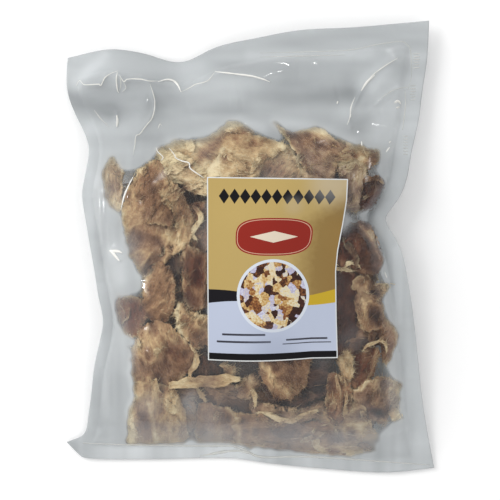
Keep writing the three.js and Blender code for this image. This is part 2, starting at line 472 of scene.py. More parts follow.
# ---- The pouch's form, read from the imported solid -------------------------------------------


@dataclass
class PouchForm:
    """The space that the bag solid holds: its outline and the heights of its two faces."""

    spacing: float = 1 * MM
    softening: int = 10
    edge_points: int = 160
    edge_softening: int = 3
    seal_widths: tuple[float, ...] = (6.5 * MM, 10 * MM, 12 * MM, 6 * MM)
    seal_blend: float = 3 * MM
    seal_thickness: float = 1.2 * MM
    raster_margin: float = 2 * MM
    upright: float = 1e-3
    settling_rounds: int = 3
    corner_ways: tuple[Picture, ...] = ((2, 1), (-1, 1), (-1, -1), (1, -1))

    def __post_init__(self) -> None:
        """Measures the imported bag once."""
        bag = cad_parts["bag"]
        low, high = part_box("bag")
        self.low, self.high = np.array(low), np.array(high)
        self._measure_faces(bag)
        self._measure_outline(bag)
        seal = self.seal_share(self.cells()).reshape(self.upper.shape)
        self.upper -= 0.5 * self.seal_thickness * seal
        self.lower += 0.5 * self.seal_thickness * seal

    def cells(self) -> np.ndarray:
        """Gives the plan places of the raster's cells, row by row."""
        across, up = np.meshgrid(self.columns, self.rows)
        return np.column_stack([across.ravel(), up.ravel()])

    def _measure_faces(self, bag: bpy.types.Object) -> None:
        """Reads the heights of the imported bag's upper and lower face on an even raster.

        Args:
            bag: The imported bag.
        """
        tree = surface_of(bag)
        low, high = self.low - self.raster_margin, self.high + self.raster_margin
        self.columns, self.rows = (np.arange(low[axis], high[axis], self.spacing) for axis in range(2))
        shape = (len(self.rows), len(self.columns))
        upper, lower = np.full(shape, np.nan), np.full(shape, np.nan)
        for j, y in enumerate(self.rows):
            for i, x in enumerate(self.columns):
                hit = tree.ray_cast(Vector((x, y, FAR)), DOWN)[0]
                if hit is not None:
                    upper[j, i] = hit.z
                    lower[j, i] = tree.ray_cast(Vector((x, y, -FAR)), UP)[0].z
        self.upper = self._soften(self._spread(upper))
        self.lower = self._soften(self._spread(lower))

    @staticmethod
    def _spread(raster: np.ndarray) -> np.ndarray:
        """Carries the heights at the rim outwards over the empty cells.

        Args:
            raster: The heights, with nan in the empty cells.

        Returns:
            The heights with no cell empty.
        """
        filled = raster.copy()
        while np.isnan(filled).any():
            padded = np.pad(filled, 1, constant_values=np.nan)
            around = np.stack([padded[:-2, 1:-1], padded[2:, 1:-1], padded[1:-1, :-2], padded[1:-1, 2:]])
            known = ~np.isnan(around)
            total = np.where(known, around, 0).sum(0)
            count = known.sum(0)
            fresh = np.isnan(filled) & (count > 0)
            filled[fresh] = total[fresh] / count[fresh]
        return filled

    def _soften(self, raster: np.ndarray) -> np.ndarray:
        """Rounds the facets off a raster of heights.

        Args:
            raster: The heights.

        Returns:
            The rounded heights.
        """
        soft = raster
        for _ in range(self.softening):
            padded = np.pad(soft, 1, mode="edge")
            soft = 0.25 * (padded[:-2, 1:-1] + padded[2:, 1:-1] + padded[1:-1, :-2] + padded[1:-1, 2:])
        return soft

    def _measure_outline(self, bag: bpy.types.Object) -> None:
        """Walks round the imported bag's rim along its upright walls and splits it at the corners.

        The step in the rim at the lower left belongs to the bottom side.

        Args:
            bag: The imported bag.
        """
        beside: dict[tuple, set] = {}
        for wall in bag.data.polygons:
            if abs(wall.normal.z) < self.upright:
                ends = {tuple(round(c, 6) for c in bag.data.vertices[i].co.xy) for i in wall.vertices}
                for end in ends:
                    beside.setdefault(end, set()).update(ends - {end})
        walk = [min(beside)]
        while len(walk) < len(beside):
            walk.append(next(p for p in sorted(beside[walk[-1]]) if p not in walk))
        rim = np.array(walk)
        if rim[:, 0] @ np.roll(rim[:, 1], -1) < rim[:, 1] @ np.roll(rim[:, 0], -1):
            rim = rim[::-1]
        ends = [np.argmin(rim @ w) for w in self.corner_ways]
        self.sides = []
        for start, end in zip(ends, ends[1:] + ends[:1]):
            count = (end - start) % len(rim) + 1
            side = rim[(start + np.arange(count)) % len(rim)]
            self.sides.append(self._even(side))
        self.outline = np.vstack([side[:-1] for side in self.sides])

    def _even(self, side: np.ndarray) -> np.ndarray:
        """Divides one side evenly by length and rounds its facets, with its ends kept.

        Args:
            side: The side's points, in order.

        Returns:
            As many points as each side gets.
        """
        length = np.concatenate([[0], np.cumsum(np.linalg.norm(np.diff(side, axis=0), axis=1))])
        where = np.linspace(0, length[-1], self.edge_points)
        even = np.column_stack([np.interp(where, length, side[:, axis]) for axis in range(2)])
        for _ in range(self.edge_softening):
            even[1:-1] = 0.25 * even[:-2] + 0.5 * even[1:-1] + 0.25 * even[2:]
        return even

    def seal_share(self, plan: np.ndarray) -> np.ndarray:
        """Tells how much each place belongs to the sealed rim.

        Args:
            plan: Plan places, one pair per row.

        Returns:
            The share of seal, from 0 inside to 1 at the rim.
        """
        share = np.zeros(len(plan))
        for side, width in zip(self.sides, self.seal_widths):
            gap = distance_to_path(plan, side[::4])[0]
            share = np.maximum(share, 1 - smooth_step(gap, width, width + self.seal_blend))
        return share

    def read(self, raster: np.ndarray, x: np.ndarray, y: np.ndarray) -> np.ndarray:
        """Reads a raster between its cells.

        Args:
            raster: The heights.
            x: Places across.
            y: Places up.

        Returns:
            A height for each place.
        """
        i = np.clip((x - self.columns[0]) / self.spacing, 0, len(self.columns) - 1.001)
        j = np.clip((y - self.rows[0]) / self.spacing, 0, len(self.rows) - 1.001)
        c, r = i.astype(int), j.astype(int)
        across, along = i - c, j - r
        low = raster[r, c] * (1 - across) + raster[r, c + 1] * across
        high = raster[r + 1, c] * (1 - across) + raster[r + 1, c + 1] * across
        return low * (1 - along) + high * along

    def top(self, x: np.ndarray, y: np.ndarray) -> np.ndarray:
        """Height of the front film."""
        return self.read(self.upper, np.asarray(x, float), np.asarray(y, float))

    def bottom(self, x: np.ndarray, y: np.ndarray) -> np.ndarray:
        """Height of the back film."""
        return self.read(self.lower, np.asarray(x, float), np.asarray(y, float))

    def on_top(self, points: np.ndarray, below: float = 0.0) -> np.ndarray:
        """Finds where picture points lie on the front film.

        Args:
            points: Picture columns and rows, one pair per row.
            below: How far under the film the surface lies, in metres.

        Returns:
            Plan places, one pair per row.
        """
        points = np.asarray(points, float)
        height = np.full(len(points), VIEW.true_size_height)
        for _ in range(self.settling_rounds):
            plan = VIEW.at(points, height)
            height = self.top(plan[:, 0], plan[:, 1]) - below
        return plan

    def plan(self, across: np.ndarray, up: np.ndarray) -> np.ndarray:
        """Maps the unit square onto the pouch's outline.

        Args:
            across: From 0 at the left side to 1 at the right side.
            up: From 0 at the bottom end to 1 at the top end.

        Returns:
            Plan places, one pair per row.
        """
        bottom, right, top, left = self.sides
        share = np.linspace(0, 1, self.edge_points)

        def on(side: np.ndarray, where: np.ndarray) -> np.ndarray:
            """Reads one side at shares of its length."""
            return np.column_stack([np.interp(where, share, side[:, axis]) for axis in range(2)])

        u, v = across[:, None], up[:, None]
        ends = (1 - v) * on(bottom, across) + v * on(top[::-1], across)
        sides = (1 - u) * on(left[::-1], up) + u * on(right, up)
        corners = ((1 - u) * (1 - v) * bottom[0] + u * (1 - v) * bottom[-1]
                   + u * v * top[0] + (1 - u) * v * top[-1])
        return ends + sides - corners


# ---- Finishes -------------------------------------------------------------------------------


def linear(colour: str) -> tuple[float, float, float, float]:
    """Turns an sRGB hex colour into the linear values that shaders take.

    Args:
        colour: A colour such as "#C9CDCF".

    Returns:
        Red, green, blue and full alpha.
    """
    channels = [int(colour[i:i + 2], 16) / 255 for i in (1, 3, 5)]
    values = [c / 12.92 if c <= 0.04045 else ((c + 0.055) / 1.055) ** 2.4 for c in channels]
    return (*values, 1.0)


def node(tree: bpy.types.NodeTree, kind: str, inputs: dict | list | None = None, out: str | int = 0,
         stops: tuple[tuple[float, str], ...] = (), **settings: object) -> Socket:
    """Adds a node with its settings and links.

    Args:
        tree: The material's node tree.
        kind: The node's type, without the leading ShaderNode.
        inputs: Values, or the sockets that feed them, by the input's name or number or in order.
        out: The output to hand back.
        stops: Places and sRGB hex colours of a colour ramp.
        **settings: The node's properties.

    Returns:
        The chosen output socket.
    """
    made = tree.nodes.new("ShaderNode" + kind)
    for name, value in settings.items():
        setattr(made, name, value)
    for place, (where, colour) in enumerate(stops):
        ramp = made.color_ramp.elements
        stop = ramp[place] if place < len(ramp) else ramp.new(where)
        stop.position, stop.color = where, linear(colour)
    fed = inputs if isinstance(inputs, dict) else dict(enumerate(inputs or []))
    for socket, value in fed.items():
        if isinstance(value, Socket):
            tree.links.new(value, made.inputs[socket])
        else:
            made.inputs[socket].default_value = value
    return made.outputs[out] if len(made.outputs) else None


def new_material(name: str) -> tuple[bpy.types.Material, AddNode]:
    """Starts a material with an empty node tree.

    Args:
        name: The material's name.

    Returns:
        The material, and the function that adds a node to it.
    """
    material = bpy.data.materials.new(name)
    material.use_nodes = True
    material.node_tree.nodes.clear()
    return material, partial(node, material.node_tree)


@dataclass(frozen=True)
class BlownPolyethyleneFilm:
    """Blown low-density polyethylene film, about 0.1 mm.

    It is clear where it clings to what is inside and turns milky grey where it stands off,
    with a soft plastic gloss. White glints on the sharp creases and pinched folds are painted
    into its colour, and soft bands of painted light and shade make its milky grey paler in
    some places and duller in others.
    """

    clear_colour: str = "#FCFDFD"
    painted_shade_haze_colour: str = "#9DA1A3"
    painted_light_haze_colour: str = "#D3D7D9"
    painted_glint_colour: str = "#F6F5F0"
    gloss_colour: str = "#FFFFFF"
    painted_glint_share: float = 4.0
    clinging_haze: float = 0.04
    slack_haze: float = 0.64
    slack_distance: float = 16.0
    seal_haze: float = 0.10
    milk_haze: float = 1.0
    pale_line_haze: float = 0.85
    gloss_roughness: float = 0.06
    clinging_roughness: float = 0.22
    clinging_distances: Picture = (0.5, 3.0)
    facing_gloss: float = 0.026
    grazing_gloss: float = 0.55
    gloss_rise: float = 4.0
    ripple_size: float = 9.0
    ripple_stretch: tuple[float, float, float] = (1.0, 0.55, 1.0)
    ripple_height: float = 0.10
    wrinkle_size: float = 7.0
    wrinkle_height: float = 0.16

    def material(self) -> bpy.types.Material:
        """Builds the film's material.

        Returns:
            The material.
        """
        made, add = new_material("Blown polyethylene film")
        place = add("TexCoord", out="Object")
        stretched = add("Mapping", {"Vector": place, "Scale": self.ripple_stretch})
        ripple = add("TexNoise", {"Vector": stretched, "Scale": 1 / (self.ripple_size * MM), "Detail": 2.0,
                                  "Roughness": 0.45})
        wrinkle = add("TexNoise", {"Vector": place, "Scale": 1 / (self.wrinkle_size * MM), "Detail": 1.0,
                                   "Distortion": 0.6}, noise_type="RIDGED_MULTIFRACTAL")
        bump = add("Bump", {"Height": ripple, "Strength": 1.0, "Distance": self.ripple_height * MM})
        bump = add("Bump", {"Height": wrinkle, "Strength": 1.0, "Normal": bump,
                            "Distance": self.wrinkle_height * MM})
        standoff, seal, pale, milk, painted_light_and_shade = (add("Attribute", out="Fac", attribute_name=name)
                                             for name in ("standoff", "seal", "pale", "milk", "painted_light_and_shade"))
        haze = add("MapRange", {"Value": standoff, "From Min": 0.0, "From Max": self.slack_distance,
                                "To Min": self.clinging_haze, "To Max": self.slack_haze},
                   interpolation_type="SMOOTHERSTEP")
        haze = add("Math", [milk, self.milk_haze, haze], operation="MULTIPLY_ADD")
        haze = add("Math", [seal, self.seal_haze, haze], operation="MULTIPLY_ADD")
        haze = add("Math", [pale, self.pale_line_haze, haze], operation="MULTIPLY_ADD", use_clamp=True)
        clear = add("BsdfTransparent", {"Color": linear(self.clear_colour)})
        # Painted light and shade: soft bands make the milky grey paler in some places and duller in others.
        tint = add("Mix", {0: painted_light_and_shade, 6: linear(self.painted_shade_haze_colour), 7: linear(self.painted_light_haze_colour)}, out=2,
                   data_type="RGBA")
        # Painted glints: along the pinched folds the film turns opaque and white.
        painted_glint_mask = add("Math", [pale, self.painted_glint_share], operation="MULTIPLY", use_clamp=True)
        tint = add("Mix", {0: painted_glint_mask, 6: tint, 7: linear(self.painted_glint_colour)}, out=2, data_type="RGBA")
        milky = add("BsdfPrincipled", {"Base Color": tint, "Roughness": 0.5, "Specular IOR Level": 0.0,
                                       "Normal": bump})
        body = add("MixShader", [haze, clear, milky])
        rough = add("MapRange", {"Value": standoff, "From Min": self.clinging_distances[0],
                                 "From Max": self.clinging_distances[1],
                                 "To Min": self.clinging_roughness, "To Max": self.gloss_roughness})
        gloss = add("BsdfAnisotropic", {"Color": linear(self.gloss_colour), "Roughness": rough,
                                        "Normal": bump})
        facing = add("LayerWeight", {"Blend": 0.5, "Normal": bump}, out="Facing")
        steep = add("Math", [facing, self.gloss_rise], operation="POWER")
        shine = add("MapRange", {"Value": steep, "To Min": self.facing_gloss, "To Max": self.grazing_gloss})
        film = add("MixShader", [shine, body, gloss])
        add("OutputMaterial", {"Surface": film})
        return made


@dataclass(frozen=True)
class AirDriedFish:
    """Unsalted cod, torn and dried in cold air.

    Stiff, dull and fibrous: tan to brown flesh with pale cream torn rims, dark purplish skin,
    and a few reddish stains. The tone and skin values that it reads also carry painted shade
    in the hollows and painted light on the rises.
    """

    fibre_width: float = 0.9
    fibre_length: float = 5.0
    fleck_size: float = 1.6
    mottle_size: float = 4.6
    fibre_relief: float = 0.45
    fleck_relief: float = 0.8
    fibre_contrast: float = -0.34
    fleck_contrast: float = -0.34
    mottle_contrast: float = -0.32
    flesh_stops: tuple[tuple[float, str], ...] = ((0.0, "#E8D6AE"), (0.22, "#C7A97F"), (0.45, "#997657"),
                                                  (0.7, "#63432F"), (1.0, "#2A1811"))
    skin_stops: tuple[tuple[float, str], ...] = ((0.0, "#D6C4AC"), (0.3, "#9B8473"), (0.6, "#5E453D"),
                                                 (1.0, "#241716"))
    stain_colour: str = "#6E2E18"
    torn_colour: str = "#EAD8AE"

    def material(self) -> bpy.types.Material:
        """Builds the fish's material.

        Returns:
            The material.
        """
        made, add = new_material("Air-dried cod")
        tone, skin, red, rim = (add("Attribute", out="Fac", attribute_name=name)
                                for name in ("tone", "skin", "red", "rim"))
        along = add("Attribute", out="Vector", attribute_name="fibre")
        stretched = add("Mapping", {"Vector": along,
                                    "Scale": (1 / self.fibre_length, 1 / self.fibre_width, 1.0)})
        fibre = add("TexNoise", {"Vector": stretched, "Scale": 1.0, "Detail": 3.0, "Roughness": 0.6,
                                 "Distortion": 0.8})
        flecks = add("TexNoise", {"Vector": along, "Scale": 1 / self.fleck_size, "Detail": 3.0,
                                  "Roughness": 0.65})
        mottle = add("TexNoise", {"Vector": along, "Scale": 1 / self.mottle_size, "Detail": 3.0,
                                  "Roughness": 0.6, "Distortion": 0.6})
        shade = tone
        for grain, contrast in ((fibre, self.fibre_contrast), (flecks, self.fleck_contrast),
                                (mottle, self.mottle_contrast)):
            shade = add("Math", [grain, contrast, shade], operation="MULTIPLY_ADD")
        middle = -0.5 * (self.fibre_contrast + self.fleck_contrast + self.mottle_contrast)
        shade = add("Math", [shade, middle], operation="ADD", use_clamp=True)
        flesh, hide = (add("ValToRGB", [shade], stops=stops)
                       for stops in (self.flesh_stops, self.skin_stops))
        colour = add("Mix", {0: skin, 6: flesh, 7: hide}, out=2, data_type="RGBA")
        for mask, ink in ((red, self.stain_colour), (rim, self.torn_colour)):
            colour = add("Mix", {0: mask, 6: colour, 7: linear(ink)}, out=2, data_type="RGBA")
        relief = add("Math", [flecks, self.fleck_relief, fibre], operation="MULTIPLY_ADD")
        bump = add("Bump", {"Height": relief, "Strength": 1.0, "Distance": self.fibre_relief * MM})
        body = add("BsdfPrincipled", {"Base Color": colour, "Roughness": 0.75, "Specular IOR Level": 0.12,
                                      "Normal": bump})
        add("OutputMaterial", {"Surface": body})
        return made


class Motif(Enum):
    """The print's plain shapes, each with the power that gives its outline."""

    LOZENGE = 1.0
    ROUND = 2.0
    OVAL = 3.0
    BAR = math.inf


@dataclass(frozen=True)
class InkShape:
    """A shape printed in one ink, with its middle, half width and half height in millimetres."""

    motif: Motif
    middle: Picture
    half: Picture
    ink: str = "#131115"


@dataclass(frozen=True)
class CoatedPaperPrint:
    """Satin coated paper, offset printed.

    Flat fields of ink under a soft sheen: gold tan above, bluish white below, a black and a
    yellow wedge between, a red panel, and a round field of flakes. The motifs are plain ones.
    Light and shade are painted over the print: the gold is paler at the top and darker at the
    right, two pale patches of painted glare lie at the upper right, and the bluish white is
    darker at the bottom middle.
    """

    width: float = 72.0
    height: float = 101.0
    border: float = 0.6
    border_ink: str = "#D2D4D4"
    gold_and_painted_shade_stops: tuple[tuple[float, str], ...] = ((0.0, "#B1985C"), (0.62, "#B39A60"), (0.84, "#8E7340"),
                                                 (1.0, "#8C6F3C"))
    lit_rows: Picture = (76.0, 96.0)
    lit_strength: float = 0.36
    wedge_inks: tuple[str, str] = ("#BE9F24", "#16141A")
    wedge_foot: float = 31.5
    wedge_wave: float = 1.6
    wedge_depth: float = 2.6
    wedge_slope: float = 0.14
    lower_ink: str = "#B4BCCF"
    ring: InkShape = InkShape(Motif.ROUND, (36.6, 36.0), (20.2, 20.2), "#CDD3DC")
    roundel: InkShape = InkShape(Motif.ROUND, (36.6, 36.0), (18.6, 18.6))
    flake_size: float = 3.6
    flake_warp: float = 5.0
    flake_stops: tuple[tuple[float, str], ...] = (
        (0.0, "#1E1718"), (0.26, "#4A2A1E"), (0.40, "#8E5A30"), (0.52, "#C3A064"), (0.66, "#D9CFAE"),
        (0.82, "#A9A3BE"), (1.0, "#D3D6E0"))
    panel: tuple[InkShape, ...] = (
        InkShape(Motif.OVAL, (36.0, 68.5), (20.6, 10.4), "#8C2216"),
        InkShape(Motif.OVAL, (36.0, 68.5), (19.9, 9.7), "#C79C84"),
        InkShape(Motif.OVAL, (36.0, 68.5), (19.5, 9.3), "#8C2216"),
        InkShape(Motif.LOZENGE, (36.0, 68.5), (13.0, 3.2), "#D6C8B4"))
    title: tuple[InkShape, ...] = tuple(
        InkShape(Motif.LOZENGE, (36.0 + 5.45 * place, 90.6), (2.7, 4.2)) for place in range(-5, 6))
    rules: tuple[InkShape, ...] = (
        InkShape(Motif.BAR, (20.0, 14.6), (12.0, 0.55), "#3A3A44"),
        InkShape(Motif.BAR, (20.0, 10.6), (15.0, 0.55), "#3A3A44"),
        InkShape(Motif.BAR, (55.0, 11.4), (11.5, 0.5), "#3A3A44"),
        InkShape(Motif.BAR, (55.0, 9.2), (13.5, 0.28), "#3A3A44"))
    # Two pale patches of painted glare at the upper right, and painted shade at the bottom middle.
    painted_glare_and_shade_patches: tuple[tuple[Picture, float, float, str], ...] = (
        ((64.0, 98.0), 20.0, 0.30, "#C6C4C2"), ((45.0, 86.0), 9.0, 0.14, "#C6C4C2"),
        ((36.0, 2.0), 24.0, 0.36, "#8A93A8"))
    foot: InkShape = InkShape(Motif.BAR, (36.0, 0.0), (40.0, 4.2), "#121014")
    roughness: float = 0.30
    dimple_size: float = 14.0
    dimple_depth: float = 0.22

    def material(self) -> bpy.types.Material:
        """Builds the label's material.

        Returns:
            The material.
        """
        made, add = new_material("Coated paper print")
        uv = add("UVMap", uv_map="print")
        place = add("VectorMath", [uv, (self.width, self.height, 0.0)], operation="MULTIPLY")
        layers = self._wedges(add, place)
        layers += [(self._mask(add, place, self.ring), linear(self.ring.ink)),
                   (self._mask(add, place, self.roundel), self._flakes(add, place))]
        layers += [(self._mask(add, place, shape), linear(shape.ink))
                   for shape in (*self.panel, *self.title, *self.rules)]
        # Painted glare and painted shade, laid over the print.
        for middle, reach, strength, ink in self.painted_glare_and_shade_patches:
            away = add("VectorMath", [place, (*middle, 0.0)], operation="DISTANCE", out="Value")
            mask = add("MapRange", {"Value": away, "From Max": reach, "To Min": strength, "To Max": 0.0},
                       interpolation_type="SMOOTHERSTEP")
            layers.append((mask, linear(ink)))
        layers.append((self._mask(add, place, self.foot), linear(self.foot.ink)))
        colour = self._gold_with_painted_light_and_shade(add, place)
        for mask, ink in layers:
            colour = add("Mix", {0: mask, 6: colour, 7: ink}, out=2, data_type="RGBA")
        middle = (self.width / 2, self.height / 2)
        printed = InkShape(Motif.BAR, middle, (middle[0] - self.border, middle[1] - self.border))
        colour = add("Mix", {0: self._mask(add, place, printed), 6: linear(self.border_ink), 7: colour},
                     out=2, data_type="RGBA")
        where = add("TexCoord", out="Object")
        dimples = add("TexNoise", {"Vector": where, "Scale": 1 / (self.dimple_size * MM), "Detail": 3.0})
        bump = add("Bump", {"Height": dimples, "Strength": 1.0, "Distance": self.dimple_depth * MM})
        body = add("BsdfPrincipled", {"Base Color": colour, "Roughness": self.roughness,
                                      "Specular IOR Level": 0.4, "Normal": bump})
        add("OutputMaterial", {"Surface": body})
        return made

    def _gold_with_painted_light_and_shade(self, add: AddNode, place: Socket) -> Socket:
        """Mixes the gold ground with painted light and shade: paler at the top, and darker at the
        right where the sheet turns from the light.

        Args:
            add: Adds a node to the material.
            place: Places on the label in millimetres.

        Returns:
            The ground's colour.
        """
        x = add("SeparateXYZ", [place])
        mottle = add("TexNoise", {"Vector": place, "Scale": 0.35, "Detail": 3.0})
        # Painted shade: the gold darkens towards the right.
        right = add("Math", [x, 1 / self.width, -0.05], operation="MULTIPLY_ADD")
        right = add("Math", [mottle, 0.1, right], operation="MULTIPLY_ADD")
        # Painted light: paler across the top rows.
        lit = add("MapRange", {"Value": x.node.outputs[1], "From Min": self.lit_rows[0],
                               "From Max": self.lit_rows[1], "To Max": self.lit_strength})
        right = add("Math", [right, lit], operation="SUBTRACT")
        return add("ValToRGB", [right], stops=self.gold_and_painted_shade_stops)

    def _wedges(self, add: AddNode, place: Socket) -> list[tuple[Socket, object]]:
        """Lays out the two wedges and the pale field under their waved edge.

        Args:
            add: Adds a node to the material.
            place: Places on the label in millimetres.

        Returns:
            Each field's mask and ink, in the order they are printed.
        """
        x = add("SeparateXYZ", [place])
        y = x.node.outputs[1]
        turn = add("Math", [x, 2 * math.pi / self.width], operation="MULTIPLY")
        wave = add("Math", [turn], operation="SINE")
        edge = add("Math", [wave, self.wedge_wave, self.wedge_foot], operation="MULTIPLY_ADD")
        aside = add("Math", [x, self.width / 2], operation="SUBTRACT")
        aside = add("Math", [aside], operation="ABSOLUTE")
        depth = add("Math", [aside, self.wedge_slope, self.wedge_depth], operation="MULTIPLY_ADD")
        crest = add("Math", [edge, depth], operation="ADD")
        in_wedges = add("Math", [y, crest], operation="LESS_THAN")
        left = add("Math", [x, self.width / 2], operation="LESS_THAN")
        in_left = add("Math", [in_wedges, left], operation="MULTIPLY")
        below = add("Math", [y, edge], operation="LESS_THAN")
        inks = (*self.wedge_inks, self.lower_ink)
        return [(mask, linear(ink)) for mask, ink in zip((in_wedges, in_left, below), inks)]

    def _flakes(self, add: AddNode, place: Socket) -> Socket:
        """Fills the round field with uneven flakes in plain colours.

        Args:
            add: Adds a node to the material.
            place: Places on the label in millimetres.

        Returns:
            The filling's colour.
        """
        warp = add("TexNoise", {"Vector": place, "Scale": 0.30, "Detail": 3.0}, out="Color")
        warped = add("VectorMath", [warp, (self.flake_warp, self.flake_warp, 0.0), place],
                     operation="MULTIPLY_ADD")
        flakes = add("TexVoronoi", {"Vector": warped, "Scale": 1 / self.flake_size}, out="Color")
        pick = add("SeparateXYZ", [flakes])
        specks = add("TexNoise", {"Vector": place, "Scale": 0.9, "Detail": 3.0})
        pick = add("Math", [pick, 0.8, -0.14], operation="MULTIPLY_ADD")
        pick = add("Math", [specks, 0.5, pick], operation="MULTIPLY_ADD")
        return add("ValToRGB", [pick], stops=self.flake_stops)

    @staticmethod
    def _mask(add: AddNode, place: Socket, shape: InkShape) -> Socket:
        """Makes the mask of a shape, 1 inside it and 0 outside.

        Args:
            add: Adds a node to the material.
            place: Places on the label in millimetres.
            shape: The shape.

        Returns:
            The mask.
        """
        offset = add("VectorMath", [place, (*shape.middle, 0.0)], operation="SUBTRACT")
        share = add("VectorMath", [offset, (*shape.half, 1.0)], operation="DIVIDE")
        share = add("VectorMath", [share], operation="ABSOLUTE")
        across = add("SeparateXYZ", [share])
        up = across.node.outputs[1]
        if shape.motif is Motif.BAR:
            reach = add("Math", [across, up], operation="MAXIMUM")
        else:
            across = add("Math", [across, shape.motif.value], operation="POWER")
            up = add("Math", [up, shape.motif.value], operation="POWER")
            reach = add("Math", [across, up], operation="ADD")
        return add("Math", [reach, 1.0], operation="LESS_THAN")


@dataclass(frozen=True)
class PaintedFloor:
    """Matt white paint, rolled. An even pale ground with no gloss."""

    colour: str = "#FCFCFC"

    def material(self) -> bpy.types.Material:
        """Builds the floor's material.

        Returns:
            The material.
        """
        made, add = new_material("Matt white paint")
        body = add("BsdfPrincipled", {"Base Color": linear(self.colour), "Roughness": 0.9,
                                      "Specular IOR Level": 0.1})
        add("OutputMaterial", {"Surface": body})
        return made


# ---- The fish -------------------------------------------------------------------------------


@dataclass(frozen=True)
class Blob:
    """The uneven ovals that small pieces are torn to, with sizes in millimetres."""

    radii: Picture
    slimness: Picture
    reaches: Picture
    points: int
    tear: float
    margin: float
    rounds: int


FLAKE_BLOB = Blob((3.0, 8.0), (0.22, 0.5), (0.6, 1.2), 10, tear=0.8, margin=1.5, rounds=40)
LOOSE_BLOB = Blob((11.0, 20.0), (0.5, 0.9), (0.72, 1.15), 14, tear=1.3, margin=7.0, rounds=60)


@dataclass(frozen=True)
class Scatter:
    """How one layer of the heap is scattered."""

    seed: int
    count: int
    first_number: int
    tones: Picture
    steepest: float
    levels: Picture


class Layer(Enum):
    """The layers of scattered pieces, under the named ones and against the back film."""

    # The under layer's darker tones are painted shade in the gaps between the named pieces.
    UNDER = Scatter(48, 70, 200, tones=(0.58, 0.86), steepest=0.35, levels=(0.45, 0.78))
    BACK = Scatter(49, 34, 300, tones=(0.40, 0.70), steepest=0.12, levels=(0.06, 0.26))


@dataclass
class FishSheet:
    """One torn sheet of dried fish: what its surface is like, whatever its outline."""

    name: str
    depth: float = 1.0
    tone: float = 0.45
    grain: float = 0.0
    skin: float = 0.0
    red: float = 0.0
    drop: float = 3.0
    curl: float = 1.2
    rim: float = 0.5
    folds: float = 1.3
    thickness: float = 3.0


@dataclass
class Flap(FishSheet):
    """A sheet with a closed outline, as seen in the picture (columns and rows)."""

    outline: list[Picture] = field(default_factory=list)


@dataclass
class Ribbon(FishSheet):
    """A narrow strip along a line in the picture."""

    spine: list[Picture] = field(default_factory=list)
    width: float = 4.0


@dataclass
class Stain:
    """A patch along a line in the picture where the fish is darker, paler, redder or skin."""

    name: str
    line: list[Picture]
    radius: float
    tone: float = 0.0
    red: float = 0.0
    skin: float = 0.0


TOP_FLAPS = [
    Flap("crest_back", 3.0, 0.20, -30, rim=0.5, drop=3.5, outline=[(166, 143), (178, 139), (196, 140),
        (210, 134), (222, 126), (234, 120), (246, 124), (254, 131), (250, 140), (235, 150), (215, 165),
        (198, 176), (186, 166), (172, 158)]),
    Flap("bridge", 5.0, 0.43, 60, drop=2.0, outline=[(258, 165), (270, 156), (283, 147), (292, 150),
        (300, 162), (306, 184), (262, 184)]),
    Flap("crest_front", 0.8, 0.26, -15, rim=0.7, skin=0.12, drop=3.0, outline=[(223, 139), (235, 133),
        (252, 132), (268, 138), (282, 142), (284, 150), (276, 155), (262, 168), (256, 186), (208, 186),
        (208, 168), (221, 152)]),
    Flap("arrow", 1.6, 0.42, -35, skin=0.6, drop=3.0, rim=0.4, folds=1.8, outline=[(273, 120), (283, 127),
        (296, 130), (310, 128), (324, 129), (333, 138), (348, 143), (352, 150), (345, 160), (336, 166),
        (332, 184), (306, 184), (303, 165), (295, 152), (287, 140), (279, 130)]),
    Flap("shoulder", 2.6, 0.29, -20, drop=2.5, outline=[(332, 138), (350, 141), (370, 148), (380, 149),
        (379, 160), (372, 168), (364, 170), (352, 170), (345, 172), (338, 165), (330, 158), (322, 150)]),
    Flap("strip_right", 2.0, 0.34, 80, skin=0.9, outline=[(340, 166), (358, 164), (366, 172), (366, 200),
        (362, 210), (352, 212), (342, 204), (340, 180)]),
    Flap("dark_lobe", 1.0, 1.04, 75, skin=0.2, red=0.45, rim=0.2, outline=[(364, 178), (372, 177),
        (382, 176), (385, 183), (384, 194), (379, 199), (375, 207), (370, 211), (364, 206), (362, 195)]),
    Flap("right_knuckle", 0.8, 0.95, 60, red=0.35, rim=0.6, folds=2.6, outline=[(346, 228), (358, 223),
        (368, 222), (374, 230), (376, 240), (380, 250), (385, 260), (382, 268), (374, 274), (362, 276),
        (352, 272), (344, 268), (332, 262), (334, 245)]),
]

